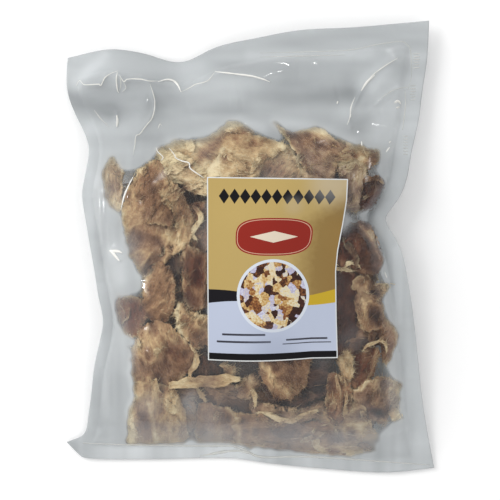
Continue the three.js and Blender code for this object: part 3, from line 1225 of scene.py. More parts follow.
LEFT_FLAPS = [
    Flap("sliver", 2.5, 0.31, 80, red=0.08, drop=2.0, curl=0.4, outline=[(110, 156), (118, 160), (122, 175),
        (120, 195), (121, 212), (114, 213), (106, 200), (101, 182), (102, 168)]),
    Flap("mound_lower", 1.8, 0.42, 60, skin=0.2, folds=1.6, outline=[(121, 206), (136, 200), (160, 214),
        (178, 226), (188, 238), (184, 250), (172, 258), (160, 268), (150, 280), (140, 274), (130, 262),
        (126, 246), (124, 230)]),
    Flap("mound_upper", 0.6, 0.44, 70, rim=0.4, folds=1.5, outline=[(150, 160), (161, 162), (166, 172),
        (170, 185), (176, 198), (178, 215), (166, 226), (146, 222), (128, 213), (125, 205), (130, 188),
        (135, 176), (142, 168)]),
    Flap("yellow_slab", 1.2, 0.41, 75, rim=0.4, outline=[(160, 170), (166, 178), (180, 190), (188, 205),
        (192, 222), (190, 240), (182, 248), (176, 232), (172, 212), (164, 200), (158, 190)]),
    Flap("loops", 4.0, 0.46, 85, red=0.3, skin=-0.4, rim=0.8, folds=2.0, outline=[(188, 206), (198, 203),
        (212, 208), (214, 252), (200, 256), (188, 244), (186, 224)]),
    Flap("tongue", 1.0, 0.19, -20, rim=0.5, skin=0.15, outline=[(165, 165), (178, 163), (190, 166),
        (200, 176), (212, 184), (212, 196), (196, 193), (186, 187), (178, 180), (168, 180)]),
    Flap("brow", 3.0, 0.02, 20, red=0.1, outline=[(158, 150), (176, 152), (196, 160), (212, 172), (206, 186),
        (186, 186), (168, 176)]),
    Flap("strip_left", 1.2, 0.70, 88, red=0.25, rim=0.7, outline=[(182, 250), (190, 247), (200, 250),
        (212, 262), (212, 300), (202, 308), (190, 310), (184, 300), (181, 285), (183, 270)]),
    Flap("knuckle_back", 3.6, 0.95, 80, skin=0.5, outline=[(156, 250), (170, 246), (180, 254), (182, 272),
        (180, 288), (170, 292), (158, 287), (150, 275), (152, 262)]),
    Flap("knuckle", 1.0, 0.55, 55, rim=0.5, folds=2.0, outline=[(147, 275), (155, 268), (163, 262),
        (170, 268), (174, 280), (176, 294), (176, 305), (170, 315), (165, 324), (152, 324), (146, 314),
        (143, 300), (143, 285)]),
    Flap("wing", 5.0, 0.52, 70, red=0.4, skin=-0.3, drop=2.0, outline=[(116, 296), (125, 296), (138, 297),
        (148, 303), (146, 318), (142, 332), (134, 338), (127, 337), (120, 330), (114, 318), (112, 306)]),
]

BOTTOM_FLAPS = [
    Flap("lower_strip", 2.4, 0.42, 60, rim=0.7, folds=1.8, outline=[(178, 300), (186, 308), (192, 316),
        (212, 320), (212, 345), (198, 350), (190, 345), (182, 335), (177, 325), (175, 312)]),
    Flap("boulder", 0.9, 0.51, -70, red=0.05, skin=0.15, folds=1.8, outline=[(135, 338), (146, 324),
        (165, 322), (178, 333), (190, 345), (194, 355), (190, 368), (180, 380), (172, 386), (160, 388),
        (145, 392), (135, 385), (131, 370), (132, 350)]),
    Flap("shade_left", 4.0, 0.98, 85, skin=0.4, outline=[(192, 344), (204, 340), (232, 348), (236, 372),
        (222, 382), (198, 382), (190, 366)]),
    Flap("pebble", 3.5, 0.35, 20, rim=0.8, folds=1.6, outline=[(214, 368), (218, 362), (228, 359),
        (238, 362), (238, 372), (228, 380), (218, 379), (212, 374)]),
    Flap("corner_fold", 3.0, 0.50, 40, rim=0.6, skin=0.2, outline=[(236, 388), (243, 380), (256, 375),
        (262, 380), (260, 388), (255, 392), (250, 398), (240, 397), (234, 392)]),
    Flap("dark_bow", 4.2, 0.93, 10, skin=0.9, rim=0.15, outline=[(240, 360), (256, 372), (262, 392),
        (275, 404), (290, 410), (305, 408), (320, 400), (332, 388), (330, 362), (345, 352), (300, 346),
        (250, 348)]),
    Flap("olive_lobe", 1.2, 0.62, -60, rim=0.3, skin=0.35, folds=1.6, outline=[(252, 356), (262, 352),
        (300, 352), (311, 358), (308, 378), (299, 392), (292, 401), (284, 400), (272, 396), (266, 385),
        (260, 372)]),
    Flap("drapes", 2.4, 0.40, 85, rim=0.5, drop=2.0, folds=1.8, outline=[(135, 385), (150, 382), (165, 386),
        (176, 390), (182, 405), (185, 420), (186, 446), (158, 448), (130, 447), (128, 430), (128, 410),
        (134, 398)]),
    Flap("shade_bottom", 8.0, 0.58, 5, skin=0.5, drop=1.5, outline=[(172, 384), (200, 384), (240, 386),
        (262, 400), (262, 420), (236, 432), (200, 440), (178, 430)]),
    Flap("pink_fold", 3.5, 0.43, 80, red=0.25, folds=1.6, drop=2.0, rim=0.5, outline=[(200, 402), (215, 405),
        (230, 410), (240, 418), (241, 430), (241, 447), (200, 448), (195, 430), (197, 412)]),
    Flap("pale_apron", 3.0, 0.54, 5, red=0.2, folds=1.8, drop=1.5, outline=[(236, 414), (262, 418),
        (290, 424), (318, 422), (336, 430), (334, 456), (300, 455), (262, 455), (238, 448)]),
    Flap("bow_rim", 3.0, 0.49, 10, skin=0.5, drop=2.0, outline=[(252, 404), (264, 402), (278, 408),
        (296, 412), (312, 404), (322, 402), (322, 416), (306, 420), (292, 422), (270, 420), (256, 418)]),
]

RIGHT_FLAPS = [
    Flap("pale_chip", 1.2, 0.32, 85, rim=0.5, drop=1.5, outline=[(341, 354), (350, 353), (354, 360),
        (352, 372), (349, 384), (342, 383), (339, 372)]),
    Flap("orange_fold", 1.8, 0.69, 60, red=0.5, rim=0.7, outline=[(352, 362), (360, 355), (372, 348),
        (378, 353), (375, 366), (371, 378), (368, 388), (358, 391), (352, 390), (350, 378)]),
    Flap("right_rim", 1.8, 0.61, 70, red=0.2, rim=0.7, folds=1.8, outline=[(370, 318), (384, 318),
        (394, 325), (399, 335), (397, 345), (392, 358), (386, 362), (384, 350), (378, 338), (366, 335)]),
    Flap("under_knuckle", 5.5, 0.58, 20, red=0.25, outline=[(338, 318), (372, 320), (386, 335), (380, 347),
        (364, 354), (350, 360), (336, 356)]),
    Flap("dark_pillar", 1.8, 0.97, 85, skin=0.2, red=0.35, rim=0.15, outline=[(332, 268), (348, 266),
        (357, 275), (357, 300), (359, 320), (353, 340), (344, 354), (332, 354), (332, 320), (332, 290)]),
    Flap("cheek", 1.6, 0.58, 80, rim=0.5, skin=0.15, folds=1.7, outline=[(354, 285), (362, 279), (372, 283),
        (380, 292), (382, 305), (385, 318), (380, 329), (368, 331), (358, 325), (355, 310), (354, 298)]),
    Flap("button", 2.0, 0.46, 0, rim=0.4, skin=0.3, drop=1.5, outline=[(367, 290), (374, 286.5), (382, 285),
        (389, 285), (391, 288), (388, 292), (380, 296), (372, 298), (367, 295)]),
    Flap("strands", 2.0, 0.55, 85, red=0.4, skin=-0.2, rim=0.7, folds=1.5, outline=[(330, 374), (345, 378),
        (352, 392), (350, 405), (343, 418), (338, 430), (332, 430), (328, 415), (326, 402), (327, 388)]),
    Flap("cluster", 3.0, 0.54, 70, skin=0.4, rim=0.3, folds=2.2, outline=[(350, 393), (358, 388), (366, 383),
        (373, 379), (381, 377), (389, 379), (392, 386), (390, 394), (393, 404), (389, 411), (388, 420),
        (384, 427), (377, 423), (370, 421), (366, 412), (361, 404), (354, 400)]),
    Flap("cluster_tip", 2.2, 0.30, 60, rim=0.5, drop=1.5, folds=1.8, outline=[(388, 385), (393, 380),
        (400, 382), (402, 388), (399, 394), (403, 400), (398, 405), (399, 411), (402, 418), (396, 421),
        (391, 416), (388, 409), (391, 400), (388, 393)]),
    Flap("hazy_base", 3.5, 0.33, 5, skin=0.1, folds=1.8, drop=1.5, outline=[(322, 408), (338, 412),
        (350, 402), (360, 404), (368, 416), (374, 428), (378, 436), (375, 448), (366, 455), (330, 456),
        (312, 442), (316, 420)]),
]

RIBBONS = [
    Ribbon("bow_edge", 2.2, 0.20, 5, width=2.8, rim=0.3, drop=1.0, folds=1.4, spine=[(257, 413), (268, 415),
        (280, 420), (292, 421), (304, 416), (318, 411)]),
    Ribbon("long_flake", 0.7, 0.24, 2, width=6.6, rim=0.4, drop=1.2, folds=1.5, spine=[(169, 386),
        (184, 383), (200, 383), (220, 381), (240, 379)]),
    Ribbon("pale_curl", 1.8, 0.28, 80, width=3.2, rim=0.3, drop=1.0, folds=0.8, spine=[(190, 345),
        (195, 354), (196, 363), (190, 371), (190, 378)]),
    Ribbon("loop_edge", 2.4, 0.16, 80, width=3.0, rim=0.3, drop=0.8, folds=0.6, spine=[(193, 206),
        (198, 212), (201, 219), (196, 226), (192, 234), (197, 240)]),
    Ribbon("twig_top", 1.0, 0.26, 0, width=2.6, rim=0.3, drop=0.6, folds=0.6, spine=[(333, 263), (342, 265),
        (352, 263), (360, 267)]),
    Ribbon("twig_bottom", 1.2, 0.30, 0, width=2.2, rim=0.3, drop=0.6, folds=0.6, spine=[(334, 269),
        (343, 269), (352, 271)]),
    Ribbon("fibre_long", 1.9, 0.42, 85, width=1.7, rim=0.3, drop=0.5, folds=0.6, spine=[(336, 376),
        (339, 394), (338, 412), (336, 430)]),
    Ribbon("fibre_short", 1.9, 0.42, 80, width=1.5, rim=0.3, drop=0.5, folds=0.6, spine=[(345, 380),
        (347, 396), (344, 412)]),
    Ribbon("crest_line", 1.0, 0.26, 20, width=1.6, rim=0.2, drop=0.6, folds=1.2, spine=[(363, 351),
        (367, 346), (374, 343), (381, 341), (386, 345), (387, 352)]),
    Ribbon("corner_tip", 2.6, 0.20, 80, width=2.4, rim=0.3, drop=0.6, folds=0.6, spine=[(252, 390),
        (255, 398), (255, 407)]),
    Ribbon("flake_tip", 3.4, 0.24, 60, width=2.4, rim=0.3, drop=0.6, folds=0.6, spine=[(197, 389),
        (202, 396), (206, 402)]),
    Ribbon("knuckle_fold_left", 0.8, 0.92, 60, width=3.6, skin=0.2, rim=0.4, drop=1.2, folds=2.2,
        spine=[(344, 238), (349, 247), (355, 256), (357, 267)]),
    Ribbon("knuckle_fold_middle", 0.7, 0.93, 60, width=4.4, red=0.3, rim=0.3, drop=1.2, folds=2.2,
        spine=[(353, 230), (357, 241), (362, 252), (369, 263)]),
    Ribbon("knuckle_fold_right", 0.8, 1.05, 60, width=3.4, red=0.1, rim=0.3, drop=1.2, folds=2.2,
        spine=[(361, 227), (367, 236), (372, 248), (379, 258)]),
    Ribbon("lobe_rim", 0.9, 0.66, 10, width=3.0, rim=0.3, drop=1.0, folds=1.5, spine=[(364, 181), (371, 179),
        (379, 178), (384, 184)]),
]

# Many of these stains are painted light and shade: darker in gaps, hollows and valleys and at the foot of a
# mound, paler along brows and ridges. The red stains are the fish's own colour.
STAINS = [
    Stain("strip edge", [(184, 252), (182, 266), (183, 282), (184, 298)], 2.4, tone=-0.36),
    Stain("lower strip edge", [(178, 305), (177, 318), (178, 330), (186, 342)], 2.4, tone=-0.34),
    Stain("shoulder rim", [(334, 164), (346, 163), (358, 160), (366, 156)], 2.6, tone=-0.36, skin=-0.5),
    Stain("arrow edge", [(277, 124), (284, 138), (290, 146), (297, 158), (302, 172)], 2.6, tone=-0.46,
        skin=-0.8),
    Stain("drape fold", [(148, 404), (151, 416), (154, 428), (156, 442)], 2.6, tone=-0.30),
    Stain("drape rim", [(131, 400), (130, 420), (132, 440)], 3.0, tone=-0.22),
    Stain("pink edge", [(228, 408), (236, 416), (239, 430), (239, 444)], 2.4, tone=-0.30),
    Stain("crest band", [(200, 158), (215, 145), (225, 133), (250, 129)], 5, tone=0.30, red=0.05),
    Stain("crest cream", [(200, 166), (214, 174)], 6, tone=-0.25),
    Stain("crest pale line", [(222, 150), (215, 165)], 3, tone=-0.22),
    Stain("crest tip", [(226, 124), (238, 122)], 5, tone=-0.22),
    Stain("crest middle", [(238, 142), (262, 146)], 8, tone=0.12),
    Stain("arrow rim", [(284, 128), (310, 129), (324, 131)], 4, tone=-0.30, skin=-0.6),
    Stain("arrow core", [(295, 140), (318, 142), (332, 150)], 8, tone=0.14),
    Stain("arrow cream", [(308, 160), (312, 168)], 3, tone=-0.25),
    Stain("shoulder red", [(350, 150), (356, 158)], 5, red=0.35),
    Stain("shoulder lobe", [(370, 154), (374, 166)], 6, tone=0.30, skin=0.4),
    Stain("mound dark", [(150, 178), (148, 196), (156, 205)], 8, tone=0.14, red=0.06),
    Stain("mound foot", [(152, 214), (168, 222)], 9, tone=0.16, skin=0.5),
    Stain("mound orange", [(140, 176), (136, 190)], 4, red=0.12),
    Stain("slab shade", [(180, 200), (184, 215)], 3, tone=0.12),
    Stain("tongue gap", [(180, 190), (190, 198), (196, 208)], 5, tone=0.45, skin=0.5),
    Stain("lower mound tan", [(170, 236), (182, 244)], 6, tone=-0.16),
    Stain("lower mound dark", [(144, 232), (158, 240)], 5, tone=0.16, skin=0.2),
    Stain("strip dark", [(196, 262), (198, 282)], 7, tone=0.18, red=0.22),
    Stain("strip low", [(198, 310), (204, 318)], 7, tone=-0.16),
    Stain("wing dark", [(132, 306), (130, 328)], 7, tone=0.24, red=0.25),
    Stain("boulder pale", [(142, 344), (160, 334), (172, 340)], 9, tone=-0.15),
    Stain("boulder dark", [(176, 356), (184, 368)], 9, tone=0.18, red=0.12),
    Stain("drape dark", [(144, 416), (146, 438)], 6, tone=0.22, red=0.22),
    Stain("olive pale", [(270, 366), (282, 384)], 5, tone=-0.10),
    Stain("olive dark", [(290, 372), (300, 380)], 5, tone=0.12, skin=0.3),
    Stain("button spot", [(373, 291), (376, 295)], 4, tone=0.45, skin=1.0),
    Stain("cheek cream", [(364, 288), (368, 302)], 4, tone=-0.20),
    Stain("knuckle rim", [(372, 232), (376, 246), (382, 258)], 4, tone=-0.32, skin=-0.3),
    Stain("knuckle twigs", [(338, 262), (350, 266)], 5, tone=-0.30),
    Stain("knuckle brow", [(361, 226), (367, 232), (372, 239)], 3.4, tone=-0.34),
    Stain("knuckle ridge", [(355, 234), (359, 249)], 3.0, tone=-0.14, red=0.1),
    Stain("knuckle foot", [(362, 271), (373, 274)], 3.2, tone=-0.30),
    Stain("bridge shade", [(264, 160), (272, 170)], 5, tone=0.16),
    Stain("bridge light", [(286, 152), (292, 168)], 4, tone=-0.16),
    Stain("olive ridge", [(262, 362), (276, 384), (288, 394)], 4, tone=-0.20),
    Stain("olive hollow", [(284, 358), (300, 362)], 5, tone=0.16, skin=0.3),
    Stain("cheek hollow", [(372, 312), (378, 324)], 4.5, tone=0.22),
    Stain("cheek column", [(358, 286), (362, 302), (366, 316)], 3.0, tone=-0.22),
    Stain("strip flank", [(206, 262), (208, 290)], 4, tone=-0.22),
    Stain("right strip flank", [(343, 176), (342, 200)], 3.5, tone=0.28),
    Stain("base light", [(350, 410), (362, 424)], 7, tone=-0.10),
    Stain("base shade", [(332, 436), (350, 440)], 7, tone=0.12, skin=0.3),
    Stain("cluster dark", [(368, 396), (366, 412)], 8, tone=0.15, skin=0.3),
    Stain("cluster spot", [(374, 411), (378, 413)], 4, tone=0.45, skin=1.0),
    Stain("base spot", [(331, 451), (336, 453)], 4, tone=0.40, red=0.5),
    Stain("apron shade", [(270, 432), (290, 436)], 7, tone=0.10, skin=0.4),
    Stain("right rim orange", [(388, 336), (392, 348)], 5, red=0.14),
    Stain("fold rim", [(376, 351), (373, 366), (369, 380), (361, 389), (353, 390)], 2.2, tone=-0.38),
    Stain("rim cream", [(385, 310), (388, 322), (395, 330)], 3.0, tone=-0.25),
    Stain("curl low", [(186, 320), (196, 340)], 6, tone=0.14, red=0.16),
]

CONTENTS_OUTLINE: list[Picture] = [
    (166, 145), (180, 139), (210, 134), (234, 120), (256, 131), (283, 142), (273, 122), (324, 129),
    (350, 143), (380, 150), (379, 168), (385, 180), (384, 195), (372, 210), (358, 214), (374, 230),
    (385, 260), (380, 272), (388, 288), (384, 300), (398, 330), (392, 358), (384, 364), (400, 385),
    (400, 420), (386, 428), (380, 452), (262, 456), (240, 446), (130, 446), (128, 410), (136, 398),
    (131, 370), (135, 340), (120, 330), (112, 306), (118, 296), (140, 290), (143, 278), (127, 258),
    (123, 225), (121, 212), (103, 185), (104, 165), (112, 157), (121, 170), (135, 170), (150, 160),
]


@dataclass
class DressedSheet:
    """A torn sheet with its height and colour, before it gets its thickness."""

    piece: bpy.types.Object
    sheet: FishSheet
    number: int
    places: np.ndarray
    tone: np.ndarray
    outer: np.ndarray
    cells: int

    def ring(self) -> np.ndarray:
        """Finds the places round the edge.

        Returns:
            Their numbers, in order.
        """
        n = self.cells
        row = np.arange(n)
        return np.concatenate([row, n + row * (n + 1), n * (n + 1) + n - row, (n - row) * (n + 1)])


Fibres = tuple[np.ndarray, np.ndarray, np.ndarray]


@dataclass
class FishFringe:
    """Frayed fibres that stand out of the torn edges and lie on the faces of the fish."""

    form: PouchForm
    edge_count: int = 180
    face_count: int = 160
    small_share: int = 8
    width: float = 0.36 * MM
    edge_length: float = 2.4 * MM
    face_length: float = 3.4 * MM
    clearance: float = 0.30 * MM
    skin: float = 0.1
    seed: int = 90

    def build(self, sheets: list[DressedSheet], small: list[DressedSheet]) -> bpy.types.Object:
        """Grows the fibres on all sheets.

        Args:
            sheets: The large sheets that show.
            small: The strips and flakes, which have fewer fibres.

        Returns:
            One piece of many closed fibres.
        """
        draw = np.random.default_rng(self.seed)
        blank = self._row_of_fibres(self.edge_count + self.face_count)
        short = self._row_of_fibres((self.edge_count + self.face_count) // self.small_share)
        rows = [self._on_sheet(blank, sheet, draw, 1) for sheet in sheets]
        rows += [self._on_sheet(short, sheet, draw, self.small_share) for sheet in small]
        bpy.data.objects.remove(blank)
        bpy.data.objects.remove(short)
        fringe = join(rows, "fish_fibres")
        bpy.ops.object.shade_smooth()
        return fringe

    @staticmethod
    def _row_of_fibres(count: int) -> bpy.types.Object:
        """Makes a row of upright three-sided fibres of unit height, two units apart.

        Args:
            count: How many fibres.

        Returns:
            The row.
        """
        deselect()
        bpy.ops.mesh.primitive_cone_add(vertices=3, radius1=0.5, radius2=0.0, depth=1.0,
                                        location=(0, 0, 0.5))
        fibre = bpy.context.active_object
        choose(fibre)
        bpy.ops.object.transform_apply()
        apply_modifier(fibre, "ARRAY", count=count, use_relative_offset=False, use_constant_offset=True,
                       constant_offset_displace=(2.0, 0.0, 0.0))
        return fibre

    def _on_sheet(self, blank: bpy.types.Object, sheet: DressedSheet, draw: np.random.Generator,
                  share: int) -> bpy.types.Object:
        """Sets one row of fibres on a sheet.

        Args:
            blank: The row to copy.
            sheet: The sheet.
            draw: The seeded random numbers.
            share: By how much the counts are divided.

        Returns:
            The fibres of this sheet.
        """
        count = (self.edge_count + self.face_count) // share
        edge_count = self.edge_count // share
        roots, ways, tone = self._edge_fibres(sheet, draw, edge_count)
        more_roots, more_ways, more_tone = self._face_fibres(sheet, draw, count - edge_count)
        roots, ways = np.vstack([roots, more_roots]), np.vstack([ways, more_ways])
        ways[self.form.seal_share((roots + ways)[:, :2]) > 0] *= 0.1
        tone = np.concatenate([tone, more_tone])
        unit = get_places(blank.data)
        owner = np.clip(np.round(unit[:, 0] / 2).astype(int), 0, len(roots) - 1)
        way = ways[owner]
        side = np.cross(way, (0.0, 0.0, 1.0))
        side /= np.linalg.norm(side, axis=1)[:, None] + 1e-12
        lift = np.cross(way, side)
        lift /= np.linalg.norm(lift, axis=1)[:, None] + 1e-12
        offset = (unit[:, :1] - 2 * owner[:, None]) * side + unit[:, 1:2] * lift
        places = roots[owner] + way * unit[:, 2:] + offset * self.width
        roof = self.form.top(places[:, 0], places[:, 1]) - self.clearance
        ground = self.form.bottom(places[:, 0], places[:, 1]) + self.clearance
        places[:, 2] = np.minimum(np.maximum(places[:, 2], ground), roof)
        made = copied(blank, places)
        for name, values in (("tone", np.clip(tone[owner], 0, 1)), ("skin", self.skin), ("red", 0.0),
                             ("rim", 0.0), ("fibre", places / MM)):
            set_trait(made.data, name, values)
        return made

    def _edge_fibres(self, sheet: DressedSheet, draw: np.random.Generator, count: int) -> Fibres:
        """Sets out the fibres that stand out of the torn edge.

        Args:
            sheet: The sheet.
            draw: The seeded random numbers.
            count: How many fibres.

        Returns:
            The fibres' roots, their ways to the tip, and their tones.
        """
        ring = sheet.ring()
        edge = sheet.places[ring]
        tangent = np.roll(edge, -1, axis=0) - np.roll(edge, 1, axis=0)
        outward = np.column_stack([tangent[:, 1], -tangent[:, 0], np.zeros(len(edge))])
        outward /= np.linalg.norm(outward, axis=1)[:, None] + 1e-12
        outer = sheet.outer[ring]
        pick = draw.choice(len(ring), count, p=(0.25 + outer) / (0.25 + outer).sum())
        outer = outer[pick]
        turn = draw.normal(0, 0.7, count)
        way = outward[pick]
        across = np.column_stack([-way[:, 1], way[:, 0], np.zeros(len(way))])
        way = way * np.cos(turn)[:, None] + across * np.sin(turn)[:, None]
        way[:, 2] = draw.uniform(-0.5, 0.3, count)
        way *= (self.edge_length * (1 + outer) * draw.gamma(2.5, 0.4, count))[:, None]
        roots = edge[pick] - 0.35 * way
        return roots, way, sheet.tone[ring][pick] + draw.normal(-0.12, 0.10, count)

    def _face_fibres(self, sheet: DressedSheet, draw: np.random.Generator, count: int) -> Fibres:
        """Sets out the fibres that lie on the face.

        Args:
            sheet: The sheet.
            draw: The seeded random numbers.
            count: How many fibres.

        Returns:
            The fibres' roots, their ways to the tip, and their tones.
        """
        n = sheet.cells + 1
        row, column = draw.integers(3, n - 3, (2, count))
        pick = row * n + column
        turn = math.radians(sheet.sheet.grain) + draw.normal(0, 0.5, count)
        length = self.face_length * draw.gamma(3.0, 0.33, count)
        way = np.column_stack([np.cos(turn), np.sin(turn), draw.uniform(-0.05, 0.22, count)])
        roots = sheet.places[pick] + (0.0, 0.0, 0.1 * MM)
        return roots, way * length[:, None], sheet.tone[pick] + draw.normal(-0.04, 0.12, count)


@dataclass(frozen=True)
class FishRelief:
    """Sizes in millimetres and shares of the folds and blots on a sheet of dried fish.

    The tone shares of the fold, crumple, crinkle and lump are painted shade in the hollows
    and painted light on the rises; the blot share is the fish's own mottling. The shadow
    tone is painted shade where the sheet sinks, and the outer tone paints the fish paler
    near the heap's outline, painted light over the shade that falls there.
    """

    fold_size: Picture = (19.0, 10.0)
    crumple_size: Picture = (11.0, 8.0)
    crinkle_size: Picture = (5.2, 3.4)
    crinkle_bend: float = 4.0
    bend: float = 3.5
    bend_size: float = 12.0
    lump_size: float = 5.5
    blot_size: float = 11.0
    hue_size: float = 13.0
    curl_size: float = 9.0
    curl_range: Picture = (0.45, 0.75)
    torn_size: float = 3.1
    torn_range: Picture = (0.35, 0.8)
    heights: tuple[float, float, float] = (2.8, 1.2, 0.35)
    lump_height: float = 0.8
    sink_reach: float = 6.0
    lip_reach: float = 1.6
    curl_reach: float = 1.8
    rim_reach: float = 1.1
    outer_reach: float = 3.0
    tones: tuple[float, ...] = (0.20, -0.09, -0.12, -0.06, -0.05)
    shadow_tone: float = 0.03
    outer_tone: float = -0.40
    stiffest_rim: float = 0.28
    full_body: float = 3.2


@dataclass
class FishHeap:
    """The dried fish bits in the pouch: named pieces against the film and a heap under them."""

    form: PouchForm
    relief: FishRelief = FishRelief()
    named_cells: int = 52
    narrow_cells: int = 16
    under_cells: int = 20
    flake_count: int = 64
    flake_turn: float = 30.0
    film_clearance: float = 0.45 * MM
    back_clearance: float = 0.5 * MM
    rim_margin: float = 7 * MM
    heap_cover: float = 6.5 * MM
    tear_size: float = 4.6 * MM
    named_tear: float = 1.1 * MM
    ribbon_tears: int = 9
    flank_shift: float = 31.7
    contents_depth: float = 6 * MM
    ribbon_numbers: int = 90
    flake_numbers: int = 400
    seed: int = 41
    flake_seed: int = 50

    def __post_init__(self) -> None:
        """Sets out the noises that shape and colour the pieces."""
        self.ragged, self.fold, self.fibre, self.blotch = (Grain(self.seed + step) for step in range(4))
        self.contents = self.form.on_top(CONTENTS_OUTLINE, self.contents_depth)
        self.from_outline = distance_to_path(self.form.cells(), closed(self.contents))[0]
        self.from_outline = self.from_outline.reshape(self.form.upper.shape) / MM

    def build(self) -> list[bpy.types.Object]:
        """Builds every group of pieces.

        Returns:
            The finished pieces.
        """
        named, narrow, coarse = (SheetBlank(cells)
                                 for cells in (self.named_cells, self.narrow_cells, self.under_cells))
        areas = {"fish_flaps_top": TOP_FLAPS, "fish_flaps_left": LEFT_FLAPS,
                 "fish_flaps_bottom": BOTTOM_FLAPS, "fish_flaps_right": RIGHT_FLAPS}
        groups, shown = {}, []
        for name, flaps in areas.items():
            groups[name] = [self._named_flap(named, flap, len(shown) + index)
                            for index, flap in enumerate(flaps)]
            shown += groups[name]
        groups["fish_strips"] = [self._ribbon(narrow, ribbon, self.ribbon_numbers + index)
                                 for index, ribbon in enumerate(RIBBONS)]
        groups["fish_flakes"] = self._flakes(narrow, shown)
        small = groups["fish_strips"] + groups["fish_flakes"]
        groups["fish_heap_under"] = self._scattered(coarse, Layer.UNDER)
        groups["fish_heap_back"] = self._scattered(coarse, Layer.BACK)
        fringe = FishFringe(self.form).build(shown, small)
        pieces = [self._finish([sheet.piece for sheet in sheets], name) for name, sheets in groups.items()]
        for blank in (named, narrow, coarse):
            blank.clear()
        return [*pieces, fringe]

    def _flakes(self, blank: SheetBlank, shown: list[DressedSheet]) -> list[DressedSheet]:
        """Lays small loose flakes on the faces of the named flaps.

        Args:
            blank: The sheet to copy.
            shown: The named flaps.

        Returns:
            The open sheets.
        """
        draw = np.random.default_rng(self.flake_seed)
        room = np.array([np.prod(np.ptp(host.places[:, :2], axis=0)) for host in shown])
        flakes = []
        while len(flakes) < self.flake_count:
            host = shown[draw.choice(len(shown), p=room / room.sum())]
            n = host.cells + 1
            row, column = draw.integers(4, n - 4, 2)
            centre = host.places[row * n + column, :2]
            turn = math.radians(host.sheet.grain + draw.normal(0, self.flake_turn))
            radius, slim = draw.uniform(*FLAKE_BLOB.radii) * MM, draw.uniform(*FLAKE_BLOB.slimness)
            reach = radius * draw.uniform(*FLAKE_BLOB.reaches, FLAKE_BLOB.points)
            number = self.flake_numbers + len(flakes)
            plan, edge = self._torn(FLAKE_BLOB, blob_round(centre, reach, slim, turn), centre,
                                    blank.cells, number)
            flake = FishSheet(f"flake_{len(flakes)}", max(host.sheet.depth - 0.6, 0.3),
                              host.sheet.tone + draw.uniform(-0.12, 0.08), math.degrees(turn),
                              host.sheet.skin, host.sheet.red, drop=0.5, curl=draw.uniform(0.0, 1.2),
                              rim=0.7, folds=host.sheet.folds, thickness=0.9)
            flakes.append(self._dressed(blank, flake, number, plan, edge, host))
        return flakes

    def _torn(self, blob: Blob, outline: np.ndarray, centre: np.ndarray, cells: int,
              number: int) -> tuple[np.ndarray, np.ndarray]:
        """Tears a small piece that lies inside the contents.

        Args:
            blob: What its oval is like.
            outline: Points round the oval.
            centre: The oval's middle.
            cells: Cells along each side of the sheet.
            number: The piece's number, which picks its part of the noise.

        Returns:
            The sheet's plan places, row by row, and how far each is from the torn edge.
        """
        held = held_inside(outline, centre, blob.margin * MM, self.contents)
        return self._filled(self._ring(held, cells, number, blob.tear * MM), cells, blob.rounds)

    def _ring(self, outline: np.ndarray, cells: int, number: int, raggedness: float) -> np.ndarray:
        """Divides an outline evenly and tears its edge.

        Args:
            outline: The outline's points in metres.
            cells: Cells along each side of the sheet.
            number: The piece's number, which picks its part of the noise.
            raggedness: How deep the tears are, in metres.

        Returns:
            Four times cells points round the outline.
        """
        ring = smooth_path(outline, 4 * cells, closed=True)
        start = int(np.argmin(ring @ np.array([1.0, 1.0])))
        ring = np.roll(ring, -start, axis=0)
        if np.sum(ring[:, 0] * np.roll(ring[:, 1], -1) - ring[:, 1] * np.roll(ring[:, 0], -1)) < 0:
            ring = np.roll(ring[::-1], 1, axis=0)
        tangent = np.roll(ring, -1, axis=0) - np.roll(ring, 1, axis=0)
        tangent /= np.linalg.norm(tangent, axis=1)[:, None] + 1e-12
        outward = np.column_stack([tangent[:, 1], -tangent[:, 0]])
        x, y = ring[:, 0] / self.tear_size + number * 3.7, ring[:, 1] / self.tear_size
        tear = (self.ragged.layered(x, y, 2) - 0.5) * 3.2 * raggedness
        fray = (self.ragged.layered(3.1 * x, 3.1 * y, 2) - 0.5) * 1.5 * raggedness
        return ring + outward * (tear + fray)[:, None]

    @staticmethod
    def _filled(ring: np.ndarray, cells: int, rounds: int = 160) -> tuple[np.ndarray, np.ndarray]:
        """Spreads a square sheet over an outline.

        Args:
            ring: Points round the outline, four times cells of them.
            cells: Cells along each side of the sheet.
            rounds: How long the inner points are evened out.

        Returns:
            The sheet's plan places, row by row, and how far each is from the torn edge.
        """
        sheet = np.zeros((cells + 1, cells + 1, 2))
        loop = closed(ring)
        sheet[0, :] = loop[:cells + 1]
        sheet[:, -1] = loop[cells:2 * cells + 1]
        sheet[-1, ::-1] = loop[2 * cells:3 * cells + 1]
        sheet[::-1, 0] = loop[3 * cells:4 * cells + 1]
        share = np.linspace(0, 1, cells + 1)
        u, v = share[None, :, None], share[:, None, None]
        blend = ((1 - v) * sheet[:1] + v * sheet[-1:] + (1 - u) * sheet[:, :1] + u * sheet[:, -1:]
                 - (1 - u) * (1 - v) * sheet[0, 0] - u * (1 - v) * sheet[0, -1]
                 - (1 - u) * v * sheet[-1, 0] - u * v * sheet[-1, -1])
        sheet[1:-1, 1:-1] = blend[1:-1, 1:-1]
        for _ in range(rounds):
            sheet[1:-1, 1:-1] = 0.25 * (sheet[:-2, 1:-1] + sheet[2:, 1:-1]
                                        + sheet[1:-1, :-2] + sheet[1:-1, 2:])
        plan = sheet.reshape(-1, 2)
        return plan, distance_to_path(plan, loop)[0]

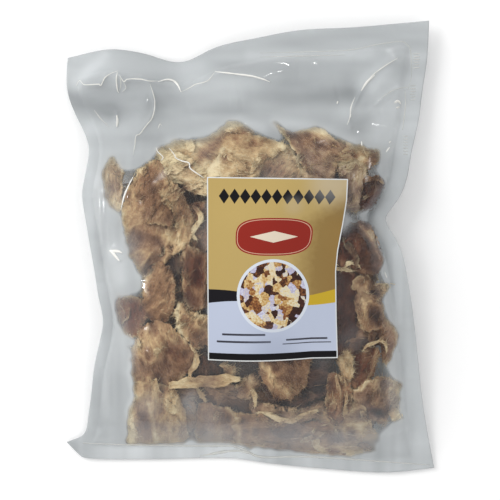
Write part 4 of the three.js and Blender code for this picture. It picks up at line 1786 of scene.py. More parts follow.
    def _named_flap(self, blank: SheetBlank, flap: Flap, number: int) -> DressedSheet:
        """Makes one named flap against the film.

        Args:
            blank: The sheet to copy.
            flap: The piece.
            number: Its number, which picks its part of the noise.

        Returns:
            The open sheet.
        """
        outline = self.form.on_top(flap.outline, flap.depth * MM)
        ring = self._ring(outline, blank.cells, number, self.named_tear)
        ring = held_inside(ring, ring.mean(0), self.rim_margin, self.form.outline[::8], 0.95)
        return self._dressed(blank, flap, number, *self._filled(ring, blank.cells))

    def _ribbon(self, blank: SheetBlank, ribbon: Ribbon, number: int) -> DressedSheet:
        """Makes one narrow strip along its line.

        Args:
            blank: The sheet to copy.
            ribbon: The piece.
            number: Its number, which picks its part of the noise.

        Returns:
            The open sheet.
        """
        spine = self.form.on_top(smooth_path(ribbon.spine, blank.cells + 1), ribbon.depth * MM)
        tangent = np.gradient(spine, axis=0)
        tangent /= np.linalg.norm(tangent, axis=1)[:, None]
        side = np.column_stack([-tangent[:, 1], tangent[:, 0]])
        along = np.linspace(0, 1, blank.cells + 1)
        across = np.linspace(-1, 1, blank.cells + 1)
        taper = np.clip(np.sin(np.pi * (0.06 + 0.88 * along)), 0, 1) ** 0.6
        flank = np.where(across < 0, 0.0, self.flank_shift)[:, None]
        place = along[None, :] * self.ribbon_tears + number + flank
        uneven = 0.35 + 1.3 * self.ragged.layered(place, number * 1.3 + flank, 3)
        half = 0.5 * ribbon.width * MM * taper[None, :] * uneven
        plan = spine[None, :, :] + (across[:, None] * half)[:, :, None] * side[None, :, :]
        edge = (1 - np.abs(across))[:, None] * half
        return self._dressed(blank, ribbon, number, plan.reshape(-1, 2), edge.ravel())

    def _dressed(self, blank: SheetBlank, sheet: FishSheet, number: int, plan: np.ndarray,
                 edge: np.ndarray, host: DressedSheet | None = None) -> DressedSheet:
        """Gives a sheet its height, its fibres and its colour.

        Args:
            blank: The sheet to copy.
            sheet: What the piece is like.
            number: Its number, which picks its part of the noise.
            plan: Plan places, row by row.
            edge: How far each place is from the torn edge, in metres.
            host: The flap that the sheet lies on and follows, if any.

        Returns:
            The open sheet with its colour values on its points.
        """
        size = self.relief
        x, y, inward = plan[:, 0] / MM, plan[:, 1] / MM, edge / MM
        turn = math.radians(host.sheet.grain if host else sheet.grain)
        along = (plan[:, 0] * math.cos(turn) + plan[:, 1] * math.sin(turn)) / MM
        across = (-plan[:, 0] * math.sin(turn) + plan[:, 1] * math.cos(turn)) / MM
        shift = (host.number if host else number) * 5.3
        bend = size.bend * (self.blotch.at(x / size.bend_size - shift, y / size.bend_size + shift) - 0.5)
        (fold_x, fold_y), (crumple_x, crumple_y) = size.fold_size, size.crumple_size
        fold = self.fold.layered(along / fold_x + shift, across / fold_y + shift + bend / fold_y, 2) - 0.5
        crumple = self._creased_noise(self.blotch, along / crumple_x - shift + bend / crumple_x,
                                      across / crumple_y + shift)
        crinkle = self._creased_noise(self.fibre, along / size.crinkle_size[0] + shift,
                                      across / size.crinkle_size[1] - shift + bend / size.crinkle_bend)
        lump = self.fold.layered(x / size.lump_size - shift, y / size.lump_size, 3) - 0.5
        blot = self.blotch.layered(x / size.blot_size + shift, y / size.blot_size + shift, 4) - 0.5
        hue = self.ragged.layered(x / size.hue_size - shift, y / size.hue_size + shift, 3) - 0.5
        curled = self.fold.at(x / size.curl_size + shift, y / size.curl_size - shift)
        curled = smooth_step(curled, *size.curl_range)
        sunk = sheet.drop * (0.6 * np.exp(-inward / size.sink_reach)
                             + 0.4 * np.exp(-inward / size.lip_reach) * (1 - curled))
        sunk -= sheet.curl * np.exp(-inward / size.curl_reach) * curled
        folded = zip(size.heights, (fold, crumple, crinkle))
        relief = sheet.folds * sum(share * part for share, part in folded)
        relief = relief + size.lump_height * lump
        under = sheet.depth + sunk + 0.5 - relief
        under = 0.5 * (under + np.sqrt(under**2 + 0.5))
        height = (self.form.top(plan[:, 0], plan[:, 1]) / MM - self.film_clearance / MM - under) * MM
        places = np.column_stack([plan, height])
        outer = self.form.read(self.from_outline, plan[:, 0], plan[:, 1])
        outer = np.exp(-outer / size.outer_reach) * np.exp(-inward / size.outer_reach)
        tone = sheet.tone
        # Blots are the fish's own mottling; the fold, crumple, crinkle and lump shares are painted shade in
        # the hollows and painted light on the rises.
        for share, part in zip(size.tones, (blot, fold, crumple, crinkle, lump)):
            tone = tone + share * part
        # Painted shade where the sheet sinks, and painted light near the heap's outline.
        tone = tone + size.shadow_tone * np.clip(sunk - relief, 0, 5) + size.outer_tone * outer
        # Painted shade: more of the dark purplish skin in the hollows of the folds and crumples, and less
        # near the heap's outline as painted light.
        skin = sheet.skin + (0.3 + 0.6 * sheet.skin) * hue - 0.25 * crumple - 0.5 * fold - 0.4 * outer
        red = sheet.red * (0.7 + 0.9 * blot) + np.clip(0.22 * (blot - hue), 0, 0.1)
        torn = self.ragged.at(x / size.torn_size + shift, y / size.torn_size - shift)
        torn = smooth_step(torn, *size.torn_range)
        rim = sheet.rim * np.exp(-inward / size.rim_reach) * (0.15 + 0.55 * curled) * torn
        tone, red, skin = self._stained(places, tone, red, skin)
        body = np.clip(size.stiffest_rim + inward / size.full_body, 0, 1) * sheet.thickness / 3.0
        made = blank.copy(places)
        for name, values, most in (("tone", tone, 1), ("skin", skin, 1), ("red", red, 0.8), ("rim", rim, 1),
                                   ("body", body, 1)):
            blank.put(made, name, np.clip(values, 0, most))
        blank.put(made, "fibre", np.column_stack([along, across, np.full_like(along, number * 7.7)]))
        return DressedSheet(made, sheet, number, places, tone, outer, blank.cells)

    @staticmethod
    def _creased_noise(grain: Grain, x: np.ndarray, y: np.ndarray) -> np.ndarray:
        """Gives noise with sharp ridges, about 0 in the mean."""
        return 0.72 - np.abs(2 * grain.layered(x, y, 2) - 1) * 2.2 + 0.12

    @staticmethod
    def _stained(places: np.ndarray, tone: np.ndarray, red: np.ndarray,
                 skin: np.ndarray) -> tuple[np.ndarray, np.ndarray, np.ndarray]:
        """Adds the named stains.

        Args:
            places: The sheet's points.
            tone: How dark the fish is so far.
            red: How red it is so far.
            skin: How much of it is skin so far.

        Returns:
            The three values with the stains added.
        """
        seen = VIEW.seen(places)
        for stain in STAINS:
            line = np.asarray(stain.line, float)
            low, high = line.min(0) - 3 * stain.radius, line.max(0) + 3 * stain.radius
            if (seen.max(0) < low).any() or (seen.min(0) > high).any():
                continue
            strength = np.exp(-(distance_to_path(seen, line)[0] / stain.radius) ** 2)
            tone = tone + stain.tone * strength
            red = red + stain.red * strength
            skin = skin + stain.skin * strength
        return tone, red, skin

    def _scattered(self, blank: SheetBlank, layer: Layer) -> list[DressedSheet]:
        """Scatters torn pieces through one layer of the heap.

        Args:
            blank: The sheet to copy.
            layer: The layer.

        Returns:
            The open sheets.
        """
        draw = np.random.default_rng(layer.value.seed)
        low, high = self.contents.min(0), self.contents.max(0)
        sheets = []
        while len(sheets) < layer.value.count:
            centre = low + (high - low) * draw.random(2)
            if not inside(centre[None, :], self.contents)[0]:
                continue
            number = layer.value.first_number + len(sheets)
            radius, slim = draw.uniform(*LOOSE_BLOB.radii) * MM, draw.uniform(*LOOSE_BLOB.slimness)
            turn = draw.uniform(0, math.pi)
            reach = radius * draw.uniform(*LOOSE_BLOB.reaches, LOOSE_BLOB.points)
            plan, edge = self._torn(LOOSE_BLOB, blob_round(centre, reach, slim, turn), centre,
                                    blank.cells, number)
            sheets.append(self._loose(blank, layer.value, number, plan, edge, centre, draw))
        return sheets

    def _loose(self, blank: SheetBlank, scatter: Scatter, number: int, plan: np.ndarray, edge: np.ndarray,
               centre: np.ndarray, draw: np.random.Generator) -> DressedSheet:
        """Makes one scattered piece, tilted in the heap.

        Args:
            blank: The sheet to copy.
            scatter: How its layer is scattered.
            number: Its number, which picks its part of the noise.
            plan: Plan places, row by row.
            edge: How far each place is from the torn edge, in metres.
            centre: The piece's middle.
            draw: The seeded random numbers.

        Returns:
            The open sheet.
        """
        sheet = FishSheet(f"loose_{number}", tone=draw.uniform(*scatter.tones), grain=draw.uniform(-90, 90),
                          skin=draw.choice([0.0, 0.2, 0.6]), red=draw.uniform(0, 0.15), rim=0.45, folds=1.8)
        made = self._dressed(blank, sheet, number, plan, edge)
        places = get_places(made.piece.data)
        x, y = places[:, 0], places[:, 1]
        top, floor = self.form.top(x, y), self.form.bottom(x, y)
        relief = places[:, 2] - (top - self.film_clearance - sheet.depth * MM)
        tilt = draw.uniform(-scatter.steepest, scatter.steepest, 2)
        share = draw.uniform(*scatter.levels)
        slope = (x - centre[0]) * tilt[0] + (y - centre[1]) * tilt[1]
        height = floor + share * (top - floor) + slope + relief
        ceiling = top - self.heap_cover - 2 * MM * share
        places[:, 2] = np.minimum(height, np.maximum(ceiling, floor + 0.35 * (top - floor)))
        set_places(made.piece.data, places)
        return made

    def _finish(self, sheets: list[bpy.types.Object], name: str) -> bpy.types.Object:
        """Joins sheets, gives them their thickness and keeps them inside the film.

        Args:
            sheets: The open sheets.
            name: The piece's name.

        Returns:
            The finished piece.
        """
        piece = join(sheets, name)
        mesh = piece.data
        body = np.empty(len(mesh.vertices), np.float32)
        mesh.attributes["body"].data.foreach_get("value", body)
        group = piece.vertex_groups.new(name="body")
        for level in np.unique(body.round(2)):
            group.add([int(i) for i in np.flatnonzero(body.round(2) == level)], float(level), "REPLACE")
        apply_modifier(piece, "SOLIDIFY", thickness=3 * MM, offset=-1.0, vertex_group="body",
                       use_quality_normals=True)
        piece.vertex_groups.clear()
        mesh.attributes.remove(mesh.attributes["body"])
        places = get_places(mesh)
        x, y = places[:, 0], places[:, 1]
        roof = self.form.top(x, y) - self.film_clearance
        ground = self.form.bottom(x, y) + self.back_clearance
        places[:, 2] = np.maximum(np.minimum(places[:, 2], roof), np.minimum(ground, roof))
        set_places(mesh, places)
        choose(piece)
        bpy.ops.object.shade_smooth()
        return piece


# ---- The film -------------------------------------------------------------------------------


@dataclass
class Crease:
    """A ridge in the film along a line in the picture."""

    name: str
    line: list[Picture]
    height: float
    half_width: float
    sharp: bool = True


CREASES = [
    Crease("top_left_ridge", [(80, 81), (83, 85), (99, 85), (103, 80), (107, 75), (117, 70), (120, 76),
        (124, 81), (131, 80), (149, 81), (168, 79), (177, 84), (180, 91)], 1.6, 1.6),
    Crease("top_middle_ridge", [(195, 87), (204, 82), (213, 73), (218, 71), (240, 74), (259, 77), (268, 80)],
        1.8, 1.8),
    Crease("post", [(116, 73), (116, 84), (118, 92)], 1.0, 1.2),
    Crease("small_fork", [(124, 81), (126, 88), (122, 92)], 0.8, 1.0),
    Crease("long_arc", [(149, 83), (153, 95), (155, 107), (153, 113), (148, 122), (142, 129), (136, 136),
        (133, 155)], 1.0, 1.1),
    Crease("mound_streak", [(135, 172), (133, 177), (128, 187), (124, 197), (121, 210)], 1.6, 1.3),
    Crease("zigzag", [(156, 147), (158, 152), (163, 157), (161, 161)], 0.8, 0.9),
    Crease("wavy_crease", [(169, 148), (174, 154), (176, 158), (182, 161), (189, 163), (190, 168),
        (195, 172), (205, 178)], 0.9, 1.0),
    Crease("top_right_arc", [(398, 58), (390, 62), (381, 68), (370, 78), (362, 90), (352, 109), (349, 119),
        (352, 129)], 1.8, 1.8),
    Crease("right_pale", [(407, 87), (394, 90), (384, 97), (375, 106)], 1.0, 1.4),
    Crease("right_upright", [(404, 91), (405, 110), (403, 132)], 0.9, 1.1),
    Crease("label_crease_a", [(352, 172), (351, 185), (353, 200), (352, 215)], 0.8, 1.2),
    Crease("label_crease_b", [(362, 176), (361, 190), (362, 205), (360, 216)], 0.8, 1.2),
    Crease("waist_fan_a", [(388, 215), (374, 216), (362, 218), (350, 222)], 0.9, 2.4, False),
    Crease("waist_fan_b", [(386, 206), (378, 200), (372, 190)], 0.9, 2.4, False),
    Crease("right_long", [(395, 248), (397, 270), (398, 300), (396, 324)], 1.1, 2.2, False),
    Crease("right_low", [(404, 340), (408, 370), (412, 400), (418, 430)], 1.0, 3.0, False),
    Crease("left_edge_a", [(97, 180), (99, 210), (100, 240), (98, 262)], 1.0, 2.2, False),
    Crease("left_edge_b", [(108, 222), (110, 245), (113, 262)], 0.9, 1.8),
    Crease("left_low_a", [(108, 352), (110, 380), (108, 420)], 0.9, 2.2, False),
    Crease("left_low_b", [(96, 350), (92, 380), (90, 410), (88, 432)], 1.0, 2.6, False),
    Crease("left_top_fan", [(72, 98), (90, 104), (120, 106), (150, 104)], 1.4, 4.0, False),
    Crease("glint_top", [(116, 110), (117, 118), (116, 127)], 1.2, 1.6),
    Crease("glint_spot", [(110, 250), (116, 254), (121, 262)], 1.3, 2.2),
    Crease("top_roll_a", [(230, 96), (260, 98), (300, 96), (336, 92)], 1.4, 7.0, False),
    Crease("top_roll_b", [(190, 112), (214, 104), (240, 100)], 1.2, 6.0, False),
    Crease("top_roll_c", [(300, 70), (330, 72), (356, 68)], 0.5, 8.0, False),
    Crease("bottom_inner", [(200, 456), (215, 453), (230, 451), (245, 452), (262, 458)], 0.6, 1.2),
]


@dataclass
class Pinch:
    """A pinched fold that stands on the film along a line in the picture, whitened by a painted glint."""

    line: list[Picture]
    width: float
    white: float


# Most of these are painted glints; the lines along the seals and the ticks are whitened the same way.
PINCHES = [
    Pinch([(76, 86), (79.5, 80.5), (83.7, 84.5), (91, 84.7), (98.7, 84.3), (101, 85.5), (105, 78),
        (111, 73.5), (118, 70.7)], 0.7, 0.75),
    Pinch([(120, 76), (124, 82), (127.5, 79.3), (140, 79), (149, 81), (158, 81)], 0.8, 0.8),
    Pinch([(158, 81.5), (167.5, 79.5), (174, 81), (178, 85), (181, 92)], 1.3, 1.0),
    Pinch([(181, 92), (190, 87.5), (196, 84), (207.5, 81), (215, 71.5)], 0.6, 0.6),
    Pinch([(215, 71.5), (230, 73.5), (250, 76), (262, 79), (270, 82)], 1.1, 0.95),
    Pinch([(117.5, 72), (116.5, 80), (117.5, 90), (119, 93)], 1.0, 0.7),
    Pinch([(120, 77), (121, 84), (119.5, 91)], 0.5, 0.5),
    Pinch([(124, 83), (126, 88), (122, 92)], 0.5, 0.5),
    Pinch([(94, 110), (101, 119), (109, 127)], 0.6, 0.35),
    Pinch([(150, 84), (153.7, 95), (155, 105), (152.5, 117.5), (146, 126), (140, 134), (136, 136),
        (135, 145), (133, 155)], 0.7, 0.6),
    Pinch([(117, 115), (117.5, 121), (117, 127)], 1.8, 0.6),
    Pinch([(158, 129), (160, 124), (162, 126)], 0.5, 0.6),
    Pinch([(133, 177), (128, 187), (124, 197), (121, 210)], 0.9, 1.0),
    Pinch([(156, 147), (158, 152), (163, 157), (161, 161)], 0.6, 0.7),
    Pinch([(169, 148), (174, 154), (176, 158), (182, 161), (189, 163), (190, 168), (195, 172), (204, 178)],
        0.8, 0.8),
    Pinch([(109.5, 250.5), (112, 252), (116, 257), (119.5, 261)], 2.2, 1.0),
    Pinch([(110, 250.5), (115, 251), (119, 251.5), (122, 253)], 1.8, 1.0),
    Pinch([(398, 58), (385, 66), (372, 76), (362, 89)], 0.8, 0.7),
    Pinch([(375, 75), (367, 82), (361, 91)], 1.5, 0.8),
    Pinch([(355, 97), (351, 107), (350, 117), (347, 125)], 0.7, 0.6),
    Pinch([(409, 87), (397, 89), (387, 94), (377, 102)], 0.6, 0.35),
    Pinch([(394, 103), (398, 101), (401, 104)], 1.3, 0.9),
    Pinch([(396, 108), (400, 107)], 1.0, 0.8),
    Pinch([(405, 90), (405.5, 105), (402.5, 130)], 0.6, 0.4),
    Pinch([(337, 104), (338, 101)], 0.9, 0.9),
    Pinch([(351, 114), (350, 118)], 0.8, 0.8),
    Pinch([(361.5, 141), (362, 146)], 0.9, 0.9),
    Pinch([(386, 152), (390, 147)], 0.9, 0.9),
    Pinch([(389, 143), (391, 141)], 0.8, 0.8),
    Pinch([(385, 272), (387, 278)], 0.8, 0.7),
    Pinch([(260, 53), (300, 52), (349, 50), (375, 45), (400, 41.5), (408, 45.5), (411, 54), (411.5, 75),
        (408, 90)], 0.5, 0.35),
    Pinch([(260, 57), (300, 56), (345, 55)], 0.6, 0.3),
    Pinch([(83, 443), (130, 445), (200, 446), (230, 446), (245, 450), (262, 457), (315, 457), (430, 465)],
        1.3, 0.30),
    Pinch([(200, 456), (230, 451), (245, 452), (262, 458)], 1.5, 0.35),
    *(Pinch([(413, row), (420, row - 0.4)], 0.6, 0.35) for row in np.linspace(54, 68, 6)),
    *(Pinch([(410, row), (416, row - 0.4)], 0.6, 0.3) for row in np.linspace(86, 100, 6)),
    *(Pinch([(403, row), (408, row + 0.3)], 0.6, 0.3) for row in np.linspace(136, 154, 7)),
]

# Patches of painted light (above 0) and painted shade (below 0) on the milky film, with a painted glow round
# the big glint.
PAINTED_LIGHT_AND_SHADE_PATCHES: list[SoftPatch] = [
    ([(68, 98), (85, 104), (110, 110)], 12.0, -0.40),
    ([(110, 108), (160, 106)], 9.0, -0.14),
    ([(75, 84), (105, 56)], 6.0, 0.28),
    ([(90, 68), (150, 64), (200, 64)], 8.0, 0.16),
    ([(185, 84), (215, 90), (250, 92)], 14.0, 0.24),
    ([(250, 55), (300, 55), (370, 53)], 6.0, 0.25),
    ([(250, 96), (300, 98), (350, 93)], 9.0, -0.25),
    ([(347, 78), (352, 95)], 9.0, -0.20),
    ([(260, 112), (300, 108), (340, 112)], 10.0, 0.16),
    ([(388, 92), (384, 128)], 18.0, 0.64),
    ([(92, 125), (118, 132)], 12.0, 0.15),
    ([(96, 236), (102, 258)], 7.0, -0.20),
    ([(398, 240), (402, 300), (408, 360), (416, 440)], 22.0, 0.42),
    ([(396, 250), (398, 320)], 4.0, 0.25),
    ([(415, 60), (418, 90), (410, 140), (398, 180)], 9.0, 0.14),
    ([(100, 180), (100, 240)], 5.0, 0.16),
    ([(95, 190), (98, 240)], 3.0, -0.12),
    ([(97, 300), (104, 330)], 10.0, -0.14),
    ([(88, 350), (84, 420)], 9.0, 0.26),
    ([(100, 370), (100, 425)], 3.0, -0.16),
    ([(100, 450), (180, 453), (250, 456)], 12.0, 0.36),
    ([(66, 446), (78, 456)], 8.0, -0.15),
    ([(113, 252), (119, 264), (120, 278)], 9.0, 0.40),
    ([(88, 130), (84, 190), (92, 262), (101, 322), (94, 372)], 8.0, 0.22),
    ([(300, 462), (420, 470)], 8.0, 0.14),
]

MILKY_AREAS: list[SoftPatch] = [
    ([(140, 436), (260, 442), (376, 440)], 24.0, 0.30),
    ([(150, 408), (155, 430)], 20.0, 0.20),
    ([(190, 410), (215, 425), (232, 440)], 18.0, 0.20),
    ([(290, 430), (360, 430)], 20.0, 0.22),
    ([(106, 165), (112, 205)], 12.0, 0.12),
    ([(116, 304), (124, 334)], 11.0, 0.03),
    ([(128, 240), (140, 272)], 10.0, 0.12),
    ([(392, 384), (398, 416)], 11.0, 0.18),
    ([(170, 140), (210, 132), (240, 120), (262, 130)], 6.0, 0.16),
    ([(276, 121), (324, 128), (352, 142)], 6.0, 0.14),
    ([(136, 340), (129, 372), (133, 396), (126, 412), (128, 446)], 3.4, 0.16),
]


@dataclass(frozen=True)
class FilmWaves:
    """Sizes in millimetres of the soft waves, and of the bands of painted light and shade in the slack film.
    """

    slack_rows: Picture = (40.0, 62.0)
    slack_sides: Picture = (68.0, 80.0)
    slack_gap: Picture = (1.0, 4.0)
    side_share: float = 0.7
    wide_size: Picture = (34.0, 15.0)
    wide_height: float = 2.6
    fine_size: Picture = (11.0, 7.0)
    fine_height: float = 0.7
    crimp_size: Picture = (26.0, 5.5)
    crimp_height: float = 0.8
    band_size: Picture = (34.0, 7.5)
    streak_size: Picture = (5.5, 40.0)
    band_rows: Picture = (40.0, 58.0)


@dataclass
class PouchFilm:
    """The film round the fish: front and back sheets sealed at all four edges."""

    form: PouchForm
    waves: FilmWaves = FilmWaves()
    front_cells: tuple[int, int] = (252, 306)
    back_cells: tuple[int, int] = (84, 102)
    half_sheet: float = 0.16 * MM
    clinging_gap: float = 0.22 * MM
    open_standoff: float = 22.0
    bridged_cells: int = 6
    blurred_cells: int = 3
    outline_depth: float = 5 * MM
    pinch_sheet: float = 0.1 * MM
    pinch_height: float = 0.8
    pinch_standoff: float = 3.0
    sealed_flatness: float = 0.85
    patch_softness: float = 0.55
    crease_reach: float = 5.0
    seed: int = 77

    def __post_init__(self) -> None:
        """Sets out the noises of the film."""
        self.ripples, self.grain = Grain(self.seed), Grain(self.seed + 1)

    def build(self, contents: list[bpy.types.Object]) -> bpy.types.Object:
        """Builds the film round its contents.

        Args:
            contents: The fish pieces, which the film clings to.

        Returns:
            The closed film.
        """
        corners, faces, first = [], [], 0
        for piece in contents:
            places = get_places(piece.data)
            corners.extend(places.tolist())
            faces.extend(tuple(first + i for i in p.vertices) for p in piece.data.polygons)
            first += len(places)
        heap = BVHTree.FromPolygons(corners, faces)
        film = join([self._sheet(self.front_cells, heap, True), self._sheet(self.back_cells, heap, False)],
                    "pouch_film")
        bpy.ops.object.mode_set(mode="EDIT")
        bpy.ops.mesh.select_mode(type="EDGE")
        bpy.ops.mesh.select_all(action="DESELECT")
        bpy.ops.mesh.select_non_manifold()
        bpy.ops.mesh.bridge_edge_loops()
        bpy.ops.mesh.select_all(action="SELECT")
        bpy.ops.mesh.normals_make_consistent(inside=False)
        bpy.ops.object.mode_set(mode="OBJECT")
        film = join([film, self._pinched(film)], "pouch_film")
        bpy.ops.object.shade_smooth()
        return film

    def _pinched(self, film: bpy.types.Object) -> bpy.types.Object:
        """Lays the pinched folds on the film as thin closed strips, whitened by painted glints.

        Args:
            film: The closed film.

        Returns:
            All folds as one object.
        """
        surface = surface_of(film)
        strips = []
        for pinch in PINCHES:
            path = self.form.on_top(smooth_path(pinch.line, 8 * len(pinch.line)))
            cells = len(path) - 1
            strip = add_grid(cells, 2)
            start = get_places(strip.data)
            along, across = start[:, 0] + 0.5, 2 * start[:, 1]
            tangent = np.gradient(path, axis=0)
            tangent /= np.linalg.norm(tangent, axis=1)[:, None]
            spot = np.round(along * cells).astype(int)
            taper = np.sin(np.pi * np.clip(along, 0.04, 0.96)) ** 0.5
            uneven = 0.7 + 0.6 * self.grain.at(path[spot, 0] / (3 * MM), path[spot, 1] / (3 * MM))
            half = 0.5 * pinch.width * MM * taper * uneven
            side = np.column_stack([-tangent[spot, 1], tangent[spot, 0]])
            plan = path[spot] + (across * half)[:, None] * side
            raised = (1 - np.abs(across)) * self.pinch_height * half
            height = height_on(surface, plan) + self.pinch_sheet + raised
            set_places(strip.data, np.column_stack([plan, height]))
            # The pale value is the painted glint.
            for name, value in (("pale", pinch.white), ("seal", 0.0), ("painted_light_and_shade", 1.0), ("milk", 0.0),
                                ("standoff", self.pinch_standoff)):
                set_trait(strip.data, name, value)
            strips.append(strip)
        pinches = join(strips, "pinches")
        apply_modifier(pinches, "SOLIDIFY", thickness=self.pinch_sheet, offset=-1.0)
        return pinches

    def _patched(self, plan: np.ndarray, patches: list[SoftPatch]) -> list[np.ndarray]:
        """Tells how strongly soft patches act.

        Args:
            plan: Plan places, one pair per row.
            patches: Each patch's line and radius in the picture, and its strength.

        Returns:
            One array of strengths for each patch.
        """
        strengths = []
        for line, radius, amount in patches:
            gap = distance_to_path(plan, self.form.on_top(line))[0]
            strengths.append(amount * np.exp(-(gap / (self.patch_softness * radius * MM)) ** 2))
        return strengths

    def _painted_light_and_shade_bands(self, plan: np.ndarray) -> np.ndarray:
        """Paints light and shade into the milky film, in soft bands: across at the top, upright at the
        sides.

        Args:
            plan: Plan places.

        Returns:
            From 0, painted shade, to 1, painted light.
        """
        x, y = plan[:, 0] / MM, plan[:, 1] / MM
        (band_x, band_y), (streak_x, streak_y) = self.waves.band_size, self.waves.streak_size
        banded = self.grain.layered(x / band_x + 2.2, y / band_y, 2)
        streaked = self.grain.layered(x / streak_x, y / streak_y + 8.8, 2)
        top = smooth_step(y, *self.waves.band_rows)
        painted_light_and_shade = 0.5 + 0.5 * (banded * top + streaked * (1 - top) - 0.5)
        for strength in self._patched(plan, PAINTED_LIGHT_AND_SHADE_PATCHES):
            painted_light_and_shade += strength
        return np.clip(painted_light_and_shade, 0, 1)

    def _sheet(self, cells: tuple[int, int], heap: BVHTree, is_front: bool) -> bpy.types.Object:
        """Makes one side of the pouch.

        Args:
            cells: Cells across and up.
            heap: The fish pieces.
            is_front: Whether it is the upper side, which has the creases.

        Returns:
            The open sheet.
        """
        sheet = add_grid(*cells)
        start = get_places(sheet.data)
        plan = self.form.plan(*np.clip(start[:, :2] + 0.5, 0, 1).T)
        x, y = plan[:, 0], plan[:, 1]
        seal = self.form.seal_share(plan)
        upper, lower = self.form.top(x, y), self.form.bottom(x, y)
        gap = np.maximum(upper - lower, 2 * self.half_sheet)
        gap = np.where(seal > 0.999, 2 * self.half_sheet, gap)
        height = 0.5 * (upper + lower) + (0.5 if is_front else -0.5) * gap
        milk = np.zeros(len(plan))
        if is_front:
            milk = np.maximum.reduce([milk, *self._patched(plan, MILKY_AREAS)])
            height += self._creased(plan) * (1 - self.sealed_flatness * seal)
            height += self._rippled(x, y, upper - lower)
            height = np.maximum(height, height_on(heap, plan) + self.clinging_gap)
        else:
            sheet.data.flip_normals()
        set_places(sheet.data, np.column_stack([x, y, height]))
        standoff = self.form.read(self._standoff(heap, is_front), x, y)
        for name, values in (("seal", seal), ("pale", 0.0), ("painted_light_and_shade", self._painted_light_and_shade_bands(plan)), ("milk", milk),
                             ("standoff", standoff)):
            set_trait(sheet.data, name, values)
        return sheet

    def _creased(self, plan: np.ndarray) -> np.ndarray:
        """Adds up the named creases.

        Args:
            plan: Plan places.

        Returns:
            How far the film stands up at each place, in metres.
        """
        total = np.zeros(len(plan))
        for crease in CREASES:
            line = smooth_path(crease.line, 4 * len(crease.line)) if len(crease.line) > 2 else crease.line
            path = self.form.on_top(line)
            reach = self.crease_reach * crease.half_width * MM
            near = np.flatnonzero(((plan > path.min(0) - reach) & (plan < path.max(0) + reach)).all(1))
            gap, along = distance_to_path(plan[near], path)
            gap /= crease.half_width * MM
            profile = np.exp(-gap) if crease.sharp else np.exp(-gap**2)
            fade = np.clip(np.minimum(along, 1 - along) * 6, 0, 1) ** 0.5
            total[near] += crease.height * MM * profile * (0.25 + 0.75 * fade)
        return total

    def _rippled(self, x: np.ndarray, y: np.ndarray, gap: np.ndarray) -> np.ndarray:
        """Adds soft waves where the film is slack.

        Args:
            x: Places across.
            y: Places up.
            gap: How far apart front and back are.

        Returns:
            Heights to add, in metres.
        """
        waves = self.waves
        slack = smooth_step(y / MM, *waves.slack_rows)
        side = smooth_step(np.abs(x) / MM, *waves.slack_sides)
        amount = np.maximum(slack, waves.side_share * side) * smooth_step(gap / MM, *waves.slack_gap)
        x, y = x / MM, y / MM
        kinds = ((waves.wide_size, 3.3, 0.0), (waves.fine_size, 0.0, 9.1), (waves.crimp_size, 20.0, 4.0))
        wide, fine, crimp = (self.ripples.layered(x / size[0] + right, y / size[1] + up, 2) - 0.5
                             for size, right, up in kinds)
        soft = amount * (waves.wide_height * wide + waves.fine_height * fine) * MM
        return soft + waves.crimp_height * side * crimp * MM

    def _standoff(self, contents: BVHTree, is_front: bool) -> np.ndarray:
        """Measures how far one side of the film stands off the heap, on the form's raster.

        A gap narrower than the bridged width counts as closed, because the film spans it.

        Args:
            contents: The fish pieces.
            is_front: Whether the upper side is measured.

        Returns:
            A raster of distances in millimetres.
        """
        film, ray = (self.form.upper, DOWN) if is_front else (self.form.lower, UP)
        gaps = np.full(film.shape, self.open_standoff)
        for j, y in enumerate(self.form.rows):
            for i, x in enumerate(self.form.columns):
                hit = contents.ray_cast(Vector((x, y, film[j, i])), ray, self.open_standoff * MM)
                if hit[0] is not None:
                    gaps[j, i] = hit[3] / MM
        open_gaps = gaps
        for _ in range(self.bridged_cells):
            gaps = self._neighbourhood(gaps).min(0)
        for _ in range(self.bridged_cells):
            gaps = self._neighbourhood(gaps).max(0)
        outline = self.form.on_top(CONTENTS_OUTLINE, self.outline_depth)
        held = inside(self.form.cells(), outline).reshape(gaps.shape)
        gaps[~held] = open_gaps[~held]
        for _ in range(self.blurred_cells):
            gaps = self._neighbourhood(gaps).mean(0)
        return gaps

    @staticmethod
    def _neighbourhood(raster: np.ndarray) -> np.ndarray:
        """Stacks a raster with its four one-cell shifts.

        Args:
            raster: The values.

        Returns:
            The five rasters.
        """
        padded = np.pad(raster, 1, mode="edge")
        return np.stack([padded[1:-1, 1:-1], padded[:-2, 1:-1], padded[2:, 1:-1], padded[1:-1, :-2],
                         padded[1:-1, 2:]])


# ---- The label ------------------------------------------------------------------------------


